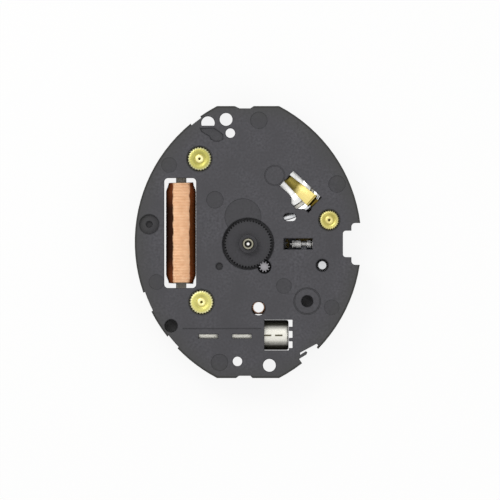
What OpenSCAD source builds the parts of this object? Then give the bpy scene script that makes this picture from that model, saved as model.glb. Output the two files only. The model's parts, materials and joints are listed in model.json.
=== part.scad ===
// Analogue quartz watch movement, 6 3/4 x 8 ligne class, seen from the dial side.
// Origin: the hands' axis at the dial seat. +X points to the winding stem, +Y to
// twelve o'clock and +Z out of the dial side, so the works hang below Z = 0.
// All sizes are in millimetres.

/* [Main plate] */
// Radius of the two arcs that bound the plate's sides
arc_r = 10.1; // [9.9:0.1:10.5]
// Sideways shift of each arc's centre
arc_shift = 2.64; // [2.5:0.02:2.7]
// Height of the arcs' centres above the hands' axis
arc_rise = 0.12; // [0:0.02:0.2]
// Distance from the hands' axis to the upper flat
flat_top = 9.07; // [8.95:0.02:9.3]
// Distance from the hands' axis to the lower flat
flat_bottom = 8.83; // [8.75:0.02:9]
// Depth of the moulded plate
plate_h = 2.98; // [2.9:0.02:3.2]
// Radius of the two holes that take the dial's feet
foot_r = 0.31; // [0.26:0.01:0.34]
// Radius of the two locating holes
locate_r = 0.42; // [0.36:0.01:0.46]

/* [Battery] */
// Diameter of the button cell
cell_d = 6.8; // [6.6:0.02:6.84]
// Thickness of the button cell
cell_h = 2.6; // [2.4:0.02:2.62]
// Clearance round the button cell
cell_gap = 0.04; // [0.02:0.01:0.06]

/* [Hands] */
// Outside radius of the hour wheel's tube
hour_tube_r = 0.6; // [0.54:0.01:0.7]
// Outside radius of the minute tube
minute_tube_r = 0.35; // [0.33:0.01:0.36]
// Radius of the seconds arbor
seconds_r = 0.1; // [0.08:0.01:0.1]
// Height of the hour tube above the dial seat
hour_top = 0.45; // [0.35:0.05:0.6]
// Height of the minute tube above the dial seat
minute_top = 0.95; // [0.9:0.05:1]
// Height of the seconds arbor above the dial seat
seconds_top = 1.25; // [1.2:0.05:1.4]
// Radial running clearance of arbors and tubes
run_gap = 0.03; // [0.02:0.005:0.03]

/* [Coil] */
// Width of the winding
coil_w = 1.89; // [1.7:0.01:1.9]
// Height of the winding
coil_h = 1.85; // [1.6:0.05:1.85]
// Length of the winding
coil_l = 6.58; // [6.3:0.02:6.6]
// Diameter of the tube that stands for the outer turns
turn_d = 0.13; // [0.1:0.01:0.14]
// Number of turns drawn in the outer layer
turns = 11; // [8:1:11]
// Width of the iron core
core_w = 0.68; // [0.6:0.02:0.8]
// Thickness of the iron core
core_t = 0.36; // [0.3:0.02:0.36]
// Thickness of the stator plate
stator_t = 0.36; // [0.3:0.02:0.36]

/* [Gear train] */
// Thickness of the brass wheels
wheel_t = 0.12; // [0.1:0.01:0.14]
// Thickness of the gears between the minute tube and the hour wheel
motion_t = 0.24; // [0.2:0.02:0.26]
// Module of the rotor pinion, fifth, seconds and third wheels
fine_m = 0.05; // [0.048:0.001:0.05]
// Thickness of the hour wheel's disc
hour_disc_t = 0.24; // [0.2:0.02:0.26]
// Radius of the rotor's magnet
magnet_r = 0.5; // [0.4:0.02:0.52]
// Radial air gap round the magnet
air_gap = 0.12; // [0.1:0.01:0.14]

/* [Crystal] */
// Diameter of the crystal's can
can_d = 2; // [1.8:0.02:2]
// Length of the crystal's can
can_l = 6.03; // [5.8:0.01:6.03]

/* [Setting parts] */
// Radius of the winding stem's shoulder
stem_r = 0.4; // [0.36:0.01:0.42]
// Radius of the clutch wheel's toothed head
clutch_r = 0.27; // [0.25:0.01:0.29]
// Thickness of the levers
lever_t = 0.16; // [0.12:0.01:0.16]
// Radius of the setting lever's pin
lever_pin_r = 0.29; // [0.25:0.01:0.3]

/* [Brass posts] */
// Outside radius of the upper and lower posts
post_r = 0.8; // [0.76:0.01:0.84]
// Outside radius of the post beside the crown
side_post_r = 0.66; // [0.62:0.01:0.7]
// Radius of the bridge screws' shanks
screw_r = 0.24; // [0.2:0.01:0.26]
// Radius of the bridge screws' heads
screw_head_r = 0.5; // [0.44:0.01:0.54]

/* [Bridge and back] */
// Thickness of the train bridge
bridge_t = 0.25; // [0.2:0.01:0.26]
// Thickness of the circuit board
board_t = 0.14; // [0.1:0.01:0.14]
// Thickness of the insulating sheet
sheet_t = 0.07; // [0.05:0.01:0.08]
// Thickness of the steel back plate
back_t = 0.1; // [0.08:0.01:0.12]

/* [Hidden] */
$fn = 48;

eps = 0.01;
fit = 0.03;
pivot_r = 0.06;
arbor_r = 0.1;
stud_r = 0.22;
stud_over = 0.2;
hub_r = 0.3;
spoke_w = 0.18;
// How far an arbor stands out below its bridge
arbor_under = 0.1;
// Clearances: round a pivot in its bridge, round a screw's shank, above a shaft's end
pivot_gap = 0.02;
screw_gap = 0.04;
end_play = 0.04;
// Heights outside the plate, where every through cut starts and ends
under = -plate_h - 1;
over = 1;

// Heights, from the dial seat at Z = 0 down to the back: each is a share of the plate's
// depth, given as it is at a depth of drawn_h
drawn_h = 2.98;
function down(z) = -z * plate_h / drawn_h;
hour_floor = down(0.44);
hour_disc_top = down(0.16);
web_bottom = down(0.92);
motion_top = down(0.96);
stem_z = motion_top - motion_t / 2;
core_top = down(1.12);
core_bottom = core_top - core_t;
pivot_ceiling = down(1.12);
centre_ceiling = down(1.28);
centre_top = down(1.32);
lever_ceiling = down(1.38);
yoke_top = down(1.42);
seat_z = down(1.48);
cbridge_t = 0.12;
setting_top = down(1.64);
stator_bottom = seat_z - stator_t;
board_top = stator_bottom;
board_bottom = board_top - board_t;
third_top = down(1.9);
seconds_wheel_top = down(2.1);
reset_top = seconds_wheel_top;
fifth_top = down(2.3);
bridge_top = down(2.5);
bridge_bottom = bridge_top - bridge_t;
screw_head_t = 0.18;
side_post_bottom = down(0.9);
pocket_floor = down(0.7);
sheet_bottom = -plate_h - sheet_t;
back_z = sheet_bottom - back_t;
cell_bottom = sheet_bottom;
cell_top = cell_bottom + cell_h;
bay_ceiling = cell_top + fit;

// Places on the plate, measured from the hands' axis
centre = [0, 0];
cell_at = [1.75, 4.85];
bay_r = cell_d / 2 + cell_gap;
upper_post = [-3.2, 5.6];
lower_post = [-3.07, -3.83];
side_post = [5.34, 1.57];
rotor_at = [-1.9, -1.47];
third_at = [-1.47, 0.85];
fifth_at = [-0.245, -1.859];
minute_at = [1.07, -1.5];
setting_at = [2.065, 0];
foot_upper = [-1.17, 7.29];
foot_lower = [-0.7, -7.73];
locate_upper = [-1.45, 8.19];
locate_lower = [1.4, -7.99];
sight_hole = [0.69, -4.25];
sight_r = 0.45;
oval_hole = [2.745, 1.755];
oval_l = 0.82;
oval_w = 0.5;
pin_at = [4.88, -1.41];
yoke_at = [3.535, -2.1];
reset_at = [2.9, -2.9];
coil_x = -4.4;
coil_y0 = -2.55;
coil_z = core_top - core_t / 2;
slot_x0 = -5.51;
slot_x1 = -3.42;
slot_y0 = coil_y0 - 0.35;
slot_y1 = coil_y0 + coil_l + 0.3;
can_y = -5.99;
can_x1 = 2.66;
can_x0 = can_x1 - can_l;
can_z = down(1.35);
can_end_gap = 0.02;
can_window_x0 = 1.07;
slit_w = 0.25;
board_x = can_x0 - 0.93;
chip_at = [2.2, -4];
chip_w = 1.6;
chip_t = 0.4;

// Gears: teeth and modules
minute_d = norm(minute_at);
cannon_n = 12;
minute_n = 30;
motion_m = 2 * minute_d / (cannon_n + minute_n);
minute_pinion_n = 10;
hour_n = 48;
hour_m = 2 * minute_d / (minute_pinion_n + hour_n);
setting_n = 11;
wheel_n = 60;
leaf_n = 8;
// How far a pinion's leaves stand out above and below the wheel that they drive
leaf_over = 0.04;
fifth_leaf_n = 15;
centre_n = 64;
centre_m = 2 * norm(third_at) / (leaf_n + centre_n);

// Turn of a gear at q, of n2 teeth, that meshes with one at p, of n1 teeth turned by t1
function meshed(p, q, n1, t1, n2) = let (a = atan2(q.y - p.y, q.x - p.x))
    a + 180 + (a - t1) * n1 / n2 + 180 / n2;
minute_turn = meshed(centre, minute_at, cannon_n, 0, minute_n);

// Rounded bar between two points
module bar(p, q, w) {
    d = q - p;
    translate(p) circle(d = w);
    translate(q) circle(d = w);
    translate(p) rotate(atan2(d.y, d.x)) translate([0, -w / 2]) square([norm(d), w]);
}

// Rectangle with rounded corners, between two opposite corners
module soft_box(a, b, r) {
    translate([a.x + r, a.y]) square([b.x - a.x - 2 * r, b.y - a.y]);
    translate([a.x, a.y + r]) square([b.x - a.x, b.y - a.y - 2 * r]);
    for (x = [a.x + r, b.x - r]) for (y = [a.y + r, b.y - r]) translate([x, y]) circle(r);
}

// Flat layer between two heights
module layer(z0, z1) {
    translate([0, 0, min(z0, z1)]) linear_extrude(abs(z1 - z0)) children();
}

// Round peg or hole between two heights
module peg(p, r, z0, z1) {
    translate([p.x, p.y, min(z0, z1)]) cylinder(r = r, h = abs(z1 - z0));
}

// Gear outline: four points a tooth
module gear(n, m) {
    pitch = n * m / 2;
    tip = pitch + 0.8 * m;
    root = pitch - 0.9 * m;
    step = 360 / n;
    polygon([for (i = [0:n - 1]) for (k = [[-0.3, root], [-0.14, tip], [0.14, tip], [0.3, root]])
        k[1] * [cos((i + k[0]) * step), sin((i + k[0]) * step)]]);
}

// Brass wheel: toothed rim, spokes and hub, bored for its arbor
module spoked_wheel(n, m, bore_r, hub_r, spokes) {
    rim_r = n * m / 2 - 4.4 * m;
    difference() {
        gear(n, m);
        circle(rim_r);
    }
    difference() {
        union() {
            circle(hub_r);
            for (i = [0:spokes - 1]) rotate(i * 360 / spokes) translate([0, -spoke_w / 2])
                square([rim_r + m, spoke_w]);
        }
        circle(bore_r);
    }
}

// Outline of the plate: two arcs and two flats
module lens(inset = 0) {
    intersection() {
        translate([arc_shift, arc_rise]) circle(arc_r - inset, $fn = 160);
        translate([-arc_shift, arc_rise]) circle(arc_r - inset, $fn = 160);
        translate([-9, -flat_bottom + inset])
            square([18, flat_top + flat_bottom - 2 * inset]);
    }
}

// Cuts in the plate's edge: crown notch, dips in the flats, clip notch and nicks
notch_inner_x = 6.24;
notch_inner_h = 0.87;
notch_outer_x = 6.8;
notch_outer_h = 1.375;
module edge_cuts() {
    soft_box([notch_inner_x, -notch_inner_h], [9, notch_inner_h], 0.2);
    soft_box([notch_outer_x, -notch_outer_h], [9, notch_outer_h], 0.25);
    dip = 0.15;
    polygon([[-0.9, flat_top + eps], [-0.56, flat_top - dip], [0.15, flat_top - dip],
             [0.38, flat_top + eps]]);
    polygon([[-0.8, -flat_bottom - eps], [-0.6, -flat_bottom + dip],
             [0.15, -flat_bottom + dip], [0.3, -flat_bottom - eps]]);
    polygon([[3.6, -8.6], [3.6, -7.93], [3.36, -7.57], [3.84, -7.28], [3.9, -7.12],
             [3.8, -7.06], [3.42, -7.3], [3.42, -7.16], [4.5, -6.58], [4.6, -6.66],
             [4.52, -6.82], [4.62, -6.92], [5.2, -6.65], [6.5, -7.5], [6, -9]]);
    nick = 0.12;
    for (a = [[110.5, 115.5], [205, 215], [229, 236]]) intersection() {
        difference() {
            circle(12);
            translate([arc_shift, arc_rise]) circle(arc_r - nick, $fn = 160);
        }
        polygon([[0, 0], 12 * [cos(a[0]), sin(a[0])], 12 * [cos(a[1]), sin(a[1])]]);
    }
}

// Window over the battery's negative contact: two slots and a lobe, turned 42 degrees
contact_turn = -42;
contact_at = [3.38, 3.58];
module contact_window() {
    polygon([[2.79, 4.61], [2.99, 4.81], [4.83, 3.06], [4.73, 2.95], [4.2, 2.42],
             [4.13, 2.21], [3.97, 2.06], [3.68, 2.31], [3.15, 2.31], [2.84, 2.7],
             [2.83, 3.04], [2.77, 3.2], [2.09, 3.82], [2.35, 4.11], [2.57, 4.31]]);
}

// Outline of the battery's negative contact strip, flat on the plate's plane
strip_end_w = 0.92;
strip_kink_w = 0.74;
strip_root_w = 0.56;
module contact_strip() {
    translate(contact_at) rotate(contact_turn) polygon([
        [1.75, -0.3], [1.75, 0.3], [1.2, 0.3], [1.18, strip_end_w / 2], [0, strip_kink_w / 2],
        [-1.1, strip_root_w / 2], [-1.9, 0.2], [-1.9, -0.2], [-1.1, -strip_root_w / 2],
        [0, -strip_kink_w / 2], [1.18, -strip_end_w / 2], [1.2, -0.3]]);
}

// Outlines shared by the plate's seats and the pieces that lie in them
stator_ring_r = 1;
stator_arm_w = 0.9;
stator_pad_w = 1.3;
module stator_outline(extra = 0) {
    elbow = [-2.75, 0.3];
    knee = [-2.85, 4.2];
    translate(rotor_at) circle(stator_ring_r + extra);
    bar(rotor_at, elbow, stator_arm_w + 2 * extra);
    bar(elbow, knee, stator_arm_w + 2 * extra);
    bar(knee, upper_post, stator_arm_w + 2 * extra);
    bar(rotor_at, lower_post, stator_arm_w + 2 * extra);
    for (p = [upper_post, lower_post]) translate(p) circle(stator_pad_w / 2 + extra);
}

core_end_up = [coil_x, 5.2];
core_end_down = [coil_x, -3.5];
core_plate_w = 1.3;
module core_outline(extra = 0) {
    translate([coil_x - core_w / 2 - extra, core_end_down.y])
        square([core_w + 2 * extra, core_end_up.y - core_end_down.y]);
    bar(core_end_up, upper_post, core_plate_w + 2 * extra);
    bar(core_end_down, lower_post, core_plate_w + 2 * extra);
}

cbridge_w = 0.9;
module centre_bridge_outline(extra = 0) {
    w = cbridge_w + 2 * extra;
    bar(centre, minute_at, w);
    bar(centre, setting_at, w);
    bar(minute_at, setting_at, w);
    bar(minute_at, fifth_at, w - 0.2);
    bar(minute_at, cbridge_screw_pad, w);
    bar(setting_at, cbridge_side_pad, w - 0.2);
}
cbridge_screw_pad = [1.5, -3.05];
cbridge_side_pad = [2.3, 0.85];

module train_bridge_outline(extra = 0) {
    w = 1.1 + 2 * extra;
    bar(upper_post, [-2.5, 3.4], w);
    bar([-2.5, 3.4], third_at, w);
    bar(third_at, centre, w);
    bar(third_at, rotor_at, w);
    bar(rotor_at, lower_post, w);
    bar(rotor_at, fifth_at, w);
    bar(fifth_at, centre, w);
    bar(centre, [3.4, 0.35], w);
    bar([3.4, 0.35], side_post, w);
}

module board_outline(extra = 0) {
    corner = [board_x, -4.7];
    elbow = [4.3, -4.1];
    tip = [5.75, -2.6];
    strip_h = 1.12;
    bar(lower_post, corner, 1.4 + 2 * extra);
    bar(core_end_down, corner, 1 + 2 * extra);
    bar(corner, [board_x, can_y], 1.2 + 2 * extra);
    translate([-3.2 - extra, -4.62 - extra]) square([7.6 + 2 * extra, strip_h + 2 * extra]);
    bar(elbow, tip, 1 + 2 * extra);
    bar(tip, tip + [0, 1], 0.7 + 2 * extra);
}

// Shallow marks and recesses of the dial side
module dial_relief() {
    mark = 0.05;
    faint = 0.03;
    wide_pin_r = 0.56;
    pin_r = 0.5;
    post_ring_r = 0.9;
    oil_cup_r = 0.22;
    cup_at = [-6.51, 1.29];
    cup_floor = down(0.3);
    pit_floor = down(0.9);
    pit_at = [3.89, -3.77];
    for (p = [[0.71, 8.13], [5.85, 3.94], [-2.18, 2.9], [-1.88, -7.8]])
        peg(p, wide_pin_r, -mark, eps);
    for (p = [[-5.2, 5.19], [-6.03, -2.51], [2.36, -2.77], [5.5, -4.17]])
        peg(p, pin_r, -faint, eps);
    peg([-0.34, 1.79], 1.2, -mark, eps);
    peg(cup_at, 0.64, cup_floor, eps);
    peg(cup_at, oil_cup_r, 2 * cup_floor, eps);
    peg([-5.07, -5.39], 0.42, pit_floor, eps);
    peg(pit_at, 0.38, pit_floor, eps);
    difference() {
        peg(pit_at, post_ring_r, -mark, eps);
        peg(pit_at, post_ring_r - 0.1, -1, 1);
    }
    difference() {
        peg([1.75, 4.5], 0.68, -faint, eps);
        peg([1.75, 4.5], 0.6, -1, 1);
    }
    peg(rotor_at, oil_cup_r, down(0.25), eps);
    layer(-faint, eps) translate([-4.3, -5.6]) square([5.15, 0.06]);
}

// Shallow pocket beside the upper locating hole
module upper_pocket() {
    layer(down(0.12), eps) polygon([[-3.15, 7.6], [-3.05, 7.4], [-2.75, 7.2], [-2.53, 7.1],
                                    [-2.45, 6.9], [-2.2, 6.76], [-1.95, 6.74], [-1.65, 6.87],
                                    [-1.66, 7.2], [-1.85, 7.35], [-2.25, 7.62]]);
}

module plate_holes() {
    peg(foot_upper, foot_r, under, over);
    peg(foot_lower, foot_r, under, over);
    peg(locate_upper, locate_r, under, over);
    peg(locate_lower, locate_r, under, over);
    peg(sight_hole, sight_r, under, over);
    layer(under, over) bar(oval_hole - [(oval_l - oval_w) / 2, 0],
                           oval_hole + [(oval_l - oval_w) / 2, 0], oval_w);
    layer(under, over) intersection() {
        translate([-2.64, 7.95]) circle(0.44);
        translate([-3.2, 7.78]) square(1.2);
    }
    layer(under, over) soft_box([slot_x0, slot_y0], [slot_x1, slot_y1], 0.25);
    for (y = [[-5.45, -4.99], [-6.18, -5.73], [-6.85, -6.41]])
        layer(under, over) translate([can_x1 + can_end_gap - eps, y[0]])
            square([slit_w, y[1] - y[0]]);
}

// Cuts for the posts, windows and hands on the dial side
hour_room_r = 1.7;
minute_room_r = 0.45;
pin_room_r = 0.41;
window_low = down(1.4);
module dial_cuts() {
    peg(centre, hour_room_r, hour_floor, eps);
    peg(centre, minute_tube_r + 0.05, web_bottom - eps, 0);
    peg(minute_at, minute_room_r, web_bottom - eps, eps);
    peg(setting_at, arbor_r + run_gap, pocket_floor, web_bottom - eps);
    peg(pin_at, pin_room_r, down(0.4), eps);
    peg(pin_at, lever_pin_r + 0.05, lever_ceiling - 0.5, eps);
    for (p = [upper_post, lower_post]) {
        peg(p, post_r + seat_rim, -seat_rim, eps);
        peg(p, post_r, core_top - 0.5, eps);
    }
    peg(side_post, side_post_r + seat_rim, -seat_rim, eps);
    peg(side_post, side_post_r, side_post_bottom, eps);
    peg(side_post, screw_r + 0.06, under, eps);
    layer(window_low, eps) translate([clutch_room_x0, -clutch_room])
        square([clutch_room_end - clutch_room_x0, 2 * clutch_room]);
    layer(bay_ceiling - 1, eps) contact_window();
    layer(can_z, eps) translate([can_window_x0, -7])
        square([can_x1 + can_end_gap - can_window_x0, 2.01]);
    for (x = [[-3.26, -1.98], [-1.03, 0.22]])
        layer(can_z, eps) translate([x[0], -6.22]) square([x[1] - x[0], 0.27]);
}

// Cavities cut from the back. room_gap is the clearance round the teeth of a gear
clutch_room = 0.36;
clutch_room_x0 = 2.35;
clutch_room_end = 4.24;
room_gap = 0.16;
rotor_room_r = magnet_r + air_gap;
tube_room_r = 0.72;
third_room_r = 0.34;
fifth_room_r = 0.5;
module back_cuts() {
    low = under;
    wheel_room = wheel_n * fine_m / 2 + 0.1;
    peg(centre, wheel_room, low, centre_ceiling);
    peg(centre, tube_room_r, low, web_bottom);
    peg(minute_at, minute_n * motion_m / 2 + room_gap, low, web_bottom);
    peg(setting_at, setting_n * motion_m / 2 + room_gap, low, web_bottom);
    peg(third_at, wheel_room, low, third_top + 0.04);
    peg(third_at, third_room_r, low, centre_ceiling);
    peg(third_at, pivot_r + pivot_gap, low, pivot_ceiling);
    peg(fifth_at, wheel_room, low, seconds_wheel_top + 0.12);
    peg(fifth_at, fifth_room_r, low, seat_z);
    peg(rotor_at, rotor_room_r, low, seat_z + 0.06);
    peg(rotor_at, pivot_r + pivot_gap, low, centre_ceiling + 2 * end_play);
    layer(low, seat_z) stator_outline(fit);
    layer(low, seat_z) centre_bridge_outline(fit);
    layer(low, core_top) core_outline(fit);
    layer(low, bridge_top) train_bridge_outline(0.05);
    layer(low, board_top) board_outline(fit);
    peg(cell_at, bay_r, low, bay_ceiling);
    layer(bay_ceiling - 1, down(0.14)) contact_channel();
    layer(low, down(0.34)) contact_leg_slot();
    layer(low, can_z + can_d / 2 + 0.05) translate([can_x0 - 0.25, can_y - can_d / 2 - 0.05])
        square([can_l + 0.25 + can_end_gap, can_d + 0.1]);
    layer(low, can_z + 0.25) translate([can_x0 - 1.6, can_y - 0.5]) square([1.5, 1]);
    layer(low, board_top) translate(chip_at - [1, 0.8]) square([2, 1.6]);
    layer(low, lever_ceiling) lever_room();
    translate([clutch_room_end - eps, 0, stem_z]) rotate([0, 90, 0])
        cylinder(r = stem_r + fit, h = 3);
    for (a = hook_angles) hook(a, 0.05, low);
}

module contact_channel() {
    translate(contact_at) rotate(contact_turn) translate([-2.1, -0.42]) square([3.95, 0.84]);
}

module contact_leg_slot() {
    translate(contact_at) rotate(contact_turn) translate([1.58, -0.36]) square([0.3, 0.72]);
}

// Room for the levers between the crown and the train
module lever_room() {
    polygon([[3.1, 0.9], [4.9, 0.9], [5.65, 0.4], [5.65, -1.6], [5.3, -2.9], [4.4, -3],
             [3.3, -3.35], [2.3, -3.35], [2.2, -2.6], [1.4, -1], [1.5, -0.3], [2.4, -0.5],
             [3.1, -0.5]]);
}

module main_plate() {
    color("#4f4e54") {
        difference() {
            layer(-plate_h, 0) difference() {
                lens();
                edge_cuts();
            }
            dial_relief();
            upper_pocket();
            plate_holes();
            dial_cuts();
            back_cuts();
        }
        peg(yoke_at, stud_r, yoke_top - lever_t - stud_over, lever_ceiling + eps);
        peg(reset_at, stud_r, reset_top - wheel_t - stud_over, lever_ceiling + eps);
    }
}

// Knurled brass insert, tapped from the back; its seat in the plate has a shallow rim
knurl_n = 24;
knurl_depth = 0.065;
post_sink = 0.02;
post_step = 0.1;
post_step_in = 0.22;
post_bore_r = 0.08;
seat_rim = 0.08;
module brass_post(p, r, top, bottom) {
    color("#c8c07a") difference() {
        union() {
            layer(bottom, top - post_step) translate(p) knurl(r);
            peg(p, r - post_step_in, top - 2 * post_step, top);
        }
        difference() {
            peg(p, 0.38, top - 0.05, top + eps);
            peg(p, 0.26, top - 1, top + 1);
        }
        peg(p, post_bore_r, top - 0.3, top + eps);
        peg(p, screw_r, bottom - eps, top - 0.25);
    }
}

module knurl(r) {
    step = 360 / knurl_n;
    polygon([for (i = [0:knurl_n - 1]) for (k = [[-0.25, r - 0.005 - knurl_depth], [0, r - 0.005]])
        k[1] * [cos((i + k[0]) * step), sin((i + k[0]) * step)]]);
}

module post_upper() brass_post(upper_post, post_r, -post_sink, core_top);
module post_lower() brass_post(lower_post, post_r, -post_sink, core_top);
module post_side() brass_post(side_post, side_post_r, -post_sink, side_post_bottom);

module coil_core() {
    color("#6b6864") difference() {
        layer(core_bottom, core_top) core_outline();
        for (p = [upper_post, lower_post]) peg(p, screw_r + screw_gap, core_bottom - 1, 0);
    }
}

// Winding: a plain body of inner layers, with the outer layer wound over it as one tube
coil_power = 3;
function squircle(u, a, b) = [
    a * sign(cos(u)) * pow(abs(cos(u)), 2 / coil_power),
    b * sign(sin(u)) * pow(abs(sin(u)), 2 / coil_power)];
turn_rings = 24;
turn_sides = 6;
turn_lift = 0.015;
turn_pitch = (coil_l - 2.4 * turn_d) / turns;
turn_steps = turns * turn_rings;
function turn_point(i) = let (
    u = 360 * i / turn_rings + 7,
    p = squircle(u, coil_w / 2 - turn_d / 2, coil_h / 2 - turn_d / 2))
    [coil_x + p.x, coil_y0 + 1.2 * turn_d + turn_pitch * i / turn_rings, coil_z + p.y];
turn_path = concat(
    [turn_point(0) + turn_d * (turn_point(0) - turn_point(1)) / norm(turn_point(0) - turn_point(1))],
    [for (i = [0:turn_steps]) turn_point(i)],
    [turn_point(turn_steps) + turn_d * (turn_point(turn_steps) - turn_point(turn_steps - 1))
        / norm(turn_point(turn_steps) - turn_point(turn_steps - 1))]);
turn_gap = min([for (i = [0:len(turn_path) - 1]) for (j = [i + turn_rings / 2:len(turn_path) - 1])
    norm(turn_path[i] - turn_path[j])]) - turn_d;
echo(least_gap_between_turns = turn_gap);

module tube(path, d, sides) {
    last = len(path) - 1;
    function along(i) = let (v = path[min(i + 1, last)] - path[max(i - 1, 0)]) v / norm(v);
    function side(i) = let (v = cross([0, 1, 0], along(i))) v / norm(v);
    function up(i) = cross(along(i), side(i));
    rings = [for (i = [0:last]) for (k = [0:sides - 1])
        path[i] + d / 2 * (cos(360 * k / sides) * side(i) + sin(360 * k / sides) * up(i))];
    walls = [for (i = [0:last - 1]) for (k = [0:sides - 1]) let (
        a = i * sides + k, b = i * sides + (k + 1) % sides)
        each [[a, b + sides, b], [a, a + sides, b + sides]]];
    start = [for (k = [1:sides - 2]) [0, k, k + 1]];
    end = [for (k = [1:sides - 2]) [last * sides, last * sides + k + 1, last * sides + k]];
    polyhedron(rings, concat(walls, start, end));
}

module coil_winding() {
    color("#d9a878") {
        difference() {
            translate([coil_x, coil_y0 + coil_l, coil_z]) rotate([90, 0, 0])
                linear_extrude(coil_l) polygon([for (i = [0:35])
                    squircle(10 * i, coil_w / 2 - turn_d - turn_lift, coil_h / 2 - turn_d - turn_lift)]);
            translate([coil_x - core_w / 2 - 0.02, coil_y0 - 1, core_bottom - 0.02])
                cube([core_w + 0.04, coil_l + 2, core_t + 0.04]);
        }
        tube(turn_path, turn_d, turn_sides);
    }
}

// Two fine wires from the winding to the circuit board
lead_r = 0.04;
lead_side = 0.25;
lead_end_y = -3.3;
module wire(p, q, r) {
    d = q - p;
    translate(p) rotate([0, acos(d.z / norm(d)), atan2(d.y, d.x)]) cylinder(r = r, h = norm(d));
}
module coil_leads() {
    color("#b5651d") for (x = [coil_x - lead_side, coil_x + lead_side])
        wire([x, coil_y0, board_top + 0.2], [x, lead_end_y, board_top + lead_r], lead_r);
}

// Stator, with two nicks in its bore that set where the magnet comes to rest
stator_nick = 0.2;
module stator() {
    color("#8a8780") difference() {
        layer(stator_bottom, seat_z) stator_outline();
        peg(rotor_at, rotor_room_r, stator_bottom - 1, 0);
        for (a = [20, 200]) layer(stator_bottom - 1, 0) translate(rotor_at) rotate(a)
            translate([rotor_room_r - 0.05, -stator_nick / 2]) square([0.15, stator_nick]);
        for (p = [upper_post, lower_post]) peg(p, screw_r + screw_gap, stator_bottom - 1, 0);
    }
}

pivot_end = bridge_top - 0.15;
rotor_collar_r = 0.2;
module rotor_magnet() {
    color("#3c3b3d") difference() {
        peg(rotor_at, magnet_r, stator_bottom, seat_z);
        peg(rotor_at, arbor_r, stator_bottom - 1, 0);
    }
}
module rotor_pinion() {
    color("#e8e2d4") {
        peg(rotor_at, arbor_r, fifth_top, seat_z);
        peg(rotor_at, pivot_r, pivot_end, centre_ceiling + end_play);
        layer(fifth_top - wheel_t - leaf_over, fifth_top + leaf_over) translate(rotor_at)
            gear(leaf_n, fine_m);
        peg(rotor_at, rotor_collar_r, stator_bottom - 0.05, stator_bottom);
    }
}

// Wheel and pinion pairs of the train
module train_wheel(p, top, driver, driver_n) {
    color("#cdb968") layer(top - wheel_t, top) translate(p)
        rotate(meshed(driver, p, driver_n, 0, wheel_n)) spoked_wheel(wheel_n, fine_m, arbor_r, hub_r, 4);
}
module fifth_wheel() train_wheel(fifth_at, fifth_top, rotor_at, leaf_n);
module fifth_pinion() {
    color("#b9bcc0") {
        peg(fifth_at, arbor_r, fifth_top - wheel_t - 0.03, seat_z - cbridge_t - 0.03);
        peg(fifth_at, pivot_r, pivot_end, seat_z);
        layer(seconds_wheel_top - wheel_t - leaf_over, seconds_wheel_top + leaf_over)
            translate(fifth_at)
            gear(fifth_leaf_n, fine_m);
    }
}
module seconds_wheel() train_wheel(centre, seconds_wheel_top, fifth_at, fifth_leaf_n);
module seconds_arbor() {
    color("#d6d8da") {
        peg(centre, seconds_r, fifth_top - 0.1, seconds_neck_z);
        translate([0, 0, seconds_neck_z]) cylinder(r1 = seconds_r - taper, r2 = seconds_r,
            h = minute_top - seconds_neck_z);
        peg(centre, seconds_r, minute_top, seconds_top);
        peg(centre, pivot_r, pivot_end, fifth_top);
        layer(third_top - wheel_t - leaf_over, third_top + leaf_over) gear(leaf_n, fine_m);
    }
}
module third_wheel() train_wheel(third_at, third_top, centre, leaf_n);
module third_pinion() {
    color("#b9bcc0") {
        peg(third_at, arbor_r, fifth_top, centre_ceiling - end_play);
        peg(third_at, pivot_r, pivot_end, pivot_ceiling - end_play);
        layer(centre_top - wheel_t - 0.02, centre_top + 0.02) translate(third_at)
            gear(leaf_n, centre_m);
    }
}

// Centre: wheel driven by the train, on the tube that carries the minute hand. Tube and arbor
// taper below their hands' seats, so that a hand stops where it should
tube_bore_r = minute_tube_r - 0.12;
taper = 0.01;
seconds_neck_z = hour_top - 0.12;
module centre_wheel() {
    color("#cdb968") layer(centre_top - wheel_t, centre_top)
        rotate(meshed(third_at, centre, leaf_n, 0, centre_n))
        spoked_wheel(centre_n, centre_m, minute_tube_r, minute_tube_r + 0.2, 4);
}
module cannon_pinion() {
    color("#d8cc9a") difference() {
        union() {
            peg(centre, minute_tube_r, seat_z + fit, motion_top);
            translate([0, 0, motion_top - eps]) cylinder(r1 = minute_tube_r - taper,
                r2 = minute_tube_r, h = hour_top - motion_top + eps);
            peg(centre, minute_tube_r, hour_top, minute_top);
            layer(motion_top - motion_t, motion_top) gear(cannon_n, motion_m);
        }
        peg(centre, tube_bore_r, -3, 2);
    }
}
minute_hub_r = 0.2;
module minute_wheel() {
    color("#34333a") layer(motion_top - motion_t, motion_top) translate(minute_at) difference() {
        rotate(minute_turn) gear(minute_n, motion_m);
        circle(minute_hub_r);
    }
}
module minute_pinion() {
    color("#b9bcc0") {
        peg(minute_at, minute_hub_r, motion_top - motion_t, motion_top + 0.03);
        peg(minute_at, arbor_r, seat_z - arbor_under, motion_top);
        layer(motion_top, hour_disc_top + 0.04) translate(minute_at) gear(minute_pinion_n, hour_m);
    }
}
module hour_wheel() {
    color("#34333a") difference() {
        union() {
            layer(hour_disc_top - hour_disc_t, hour_disc_top)
                rotate(meshed(minute_at, centre, minute_pinion_n, 0, hour_n)) gear(hour_n, hour_m);
            peg(centre, hour_tube_r, hour_disc_top - hour_disc_t, hour_top);
        }
        peg(centre, minute_tube_r + run_gap, -3, 2);
    }
}
module setting_wheel() {
    color("#34333a") {
        layer(motion_top - motion_t, motion_top) translate(setting_at)
            rotate(meshed(minute_at, setting_at, minute_n, minute_turn, setting_n))
            gear(setting_n, motion_m);
        peg(setting_at, arbor_r, seat_z - arbor_under, pocket_floor - end_play);
    }
}

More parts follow.
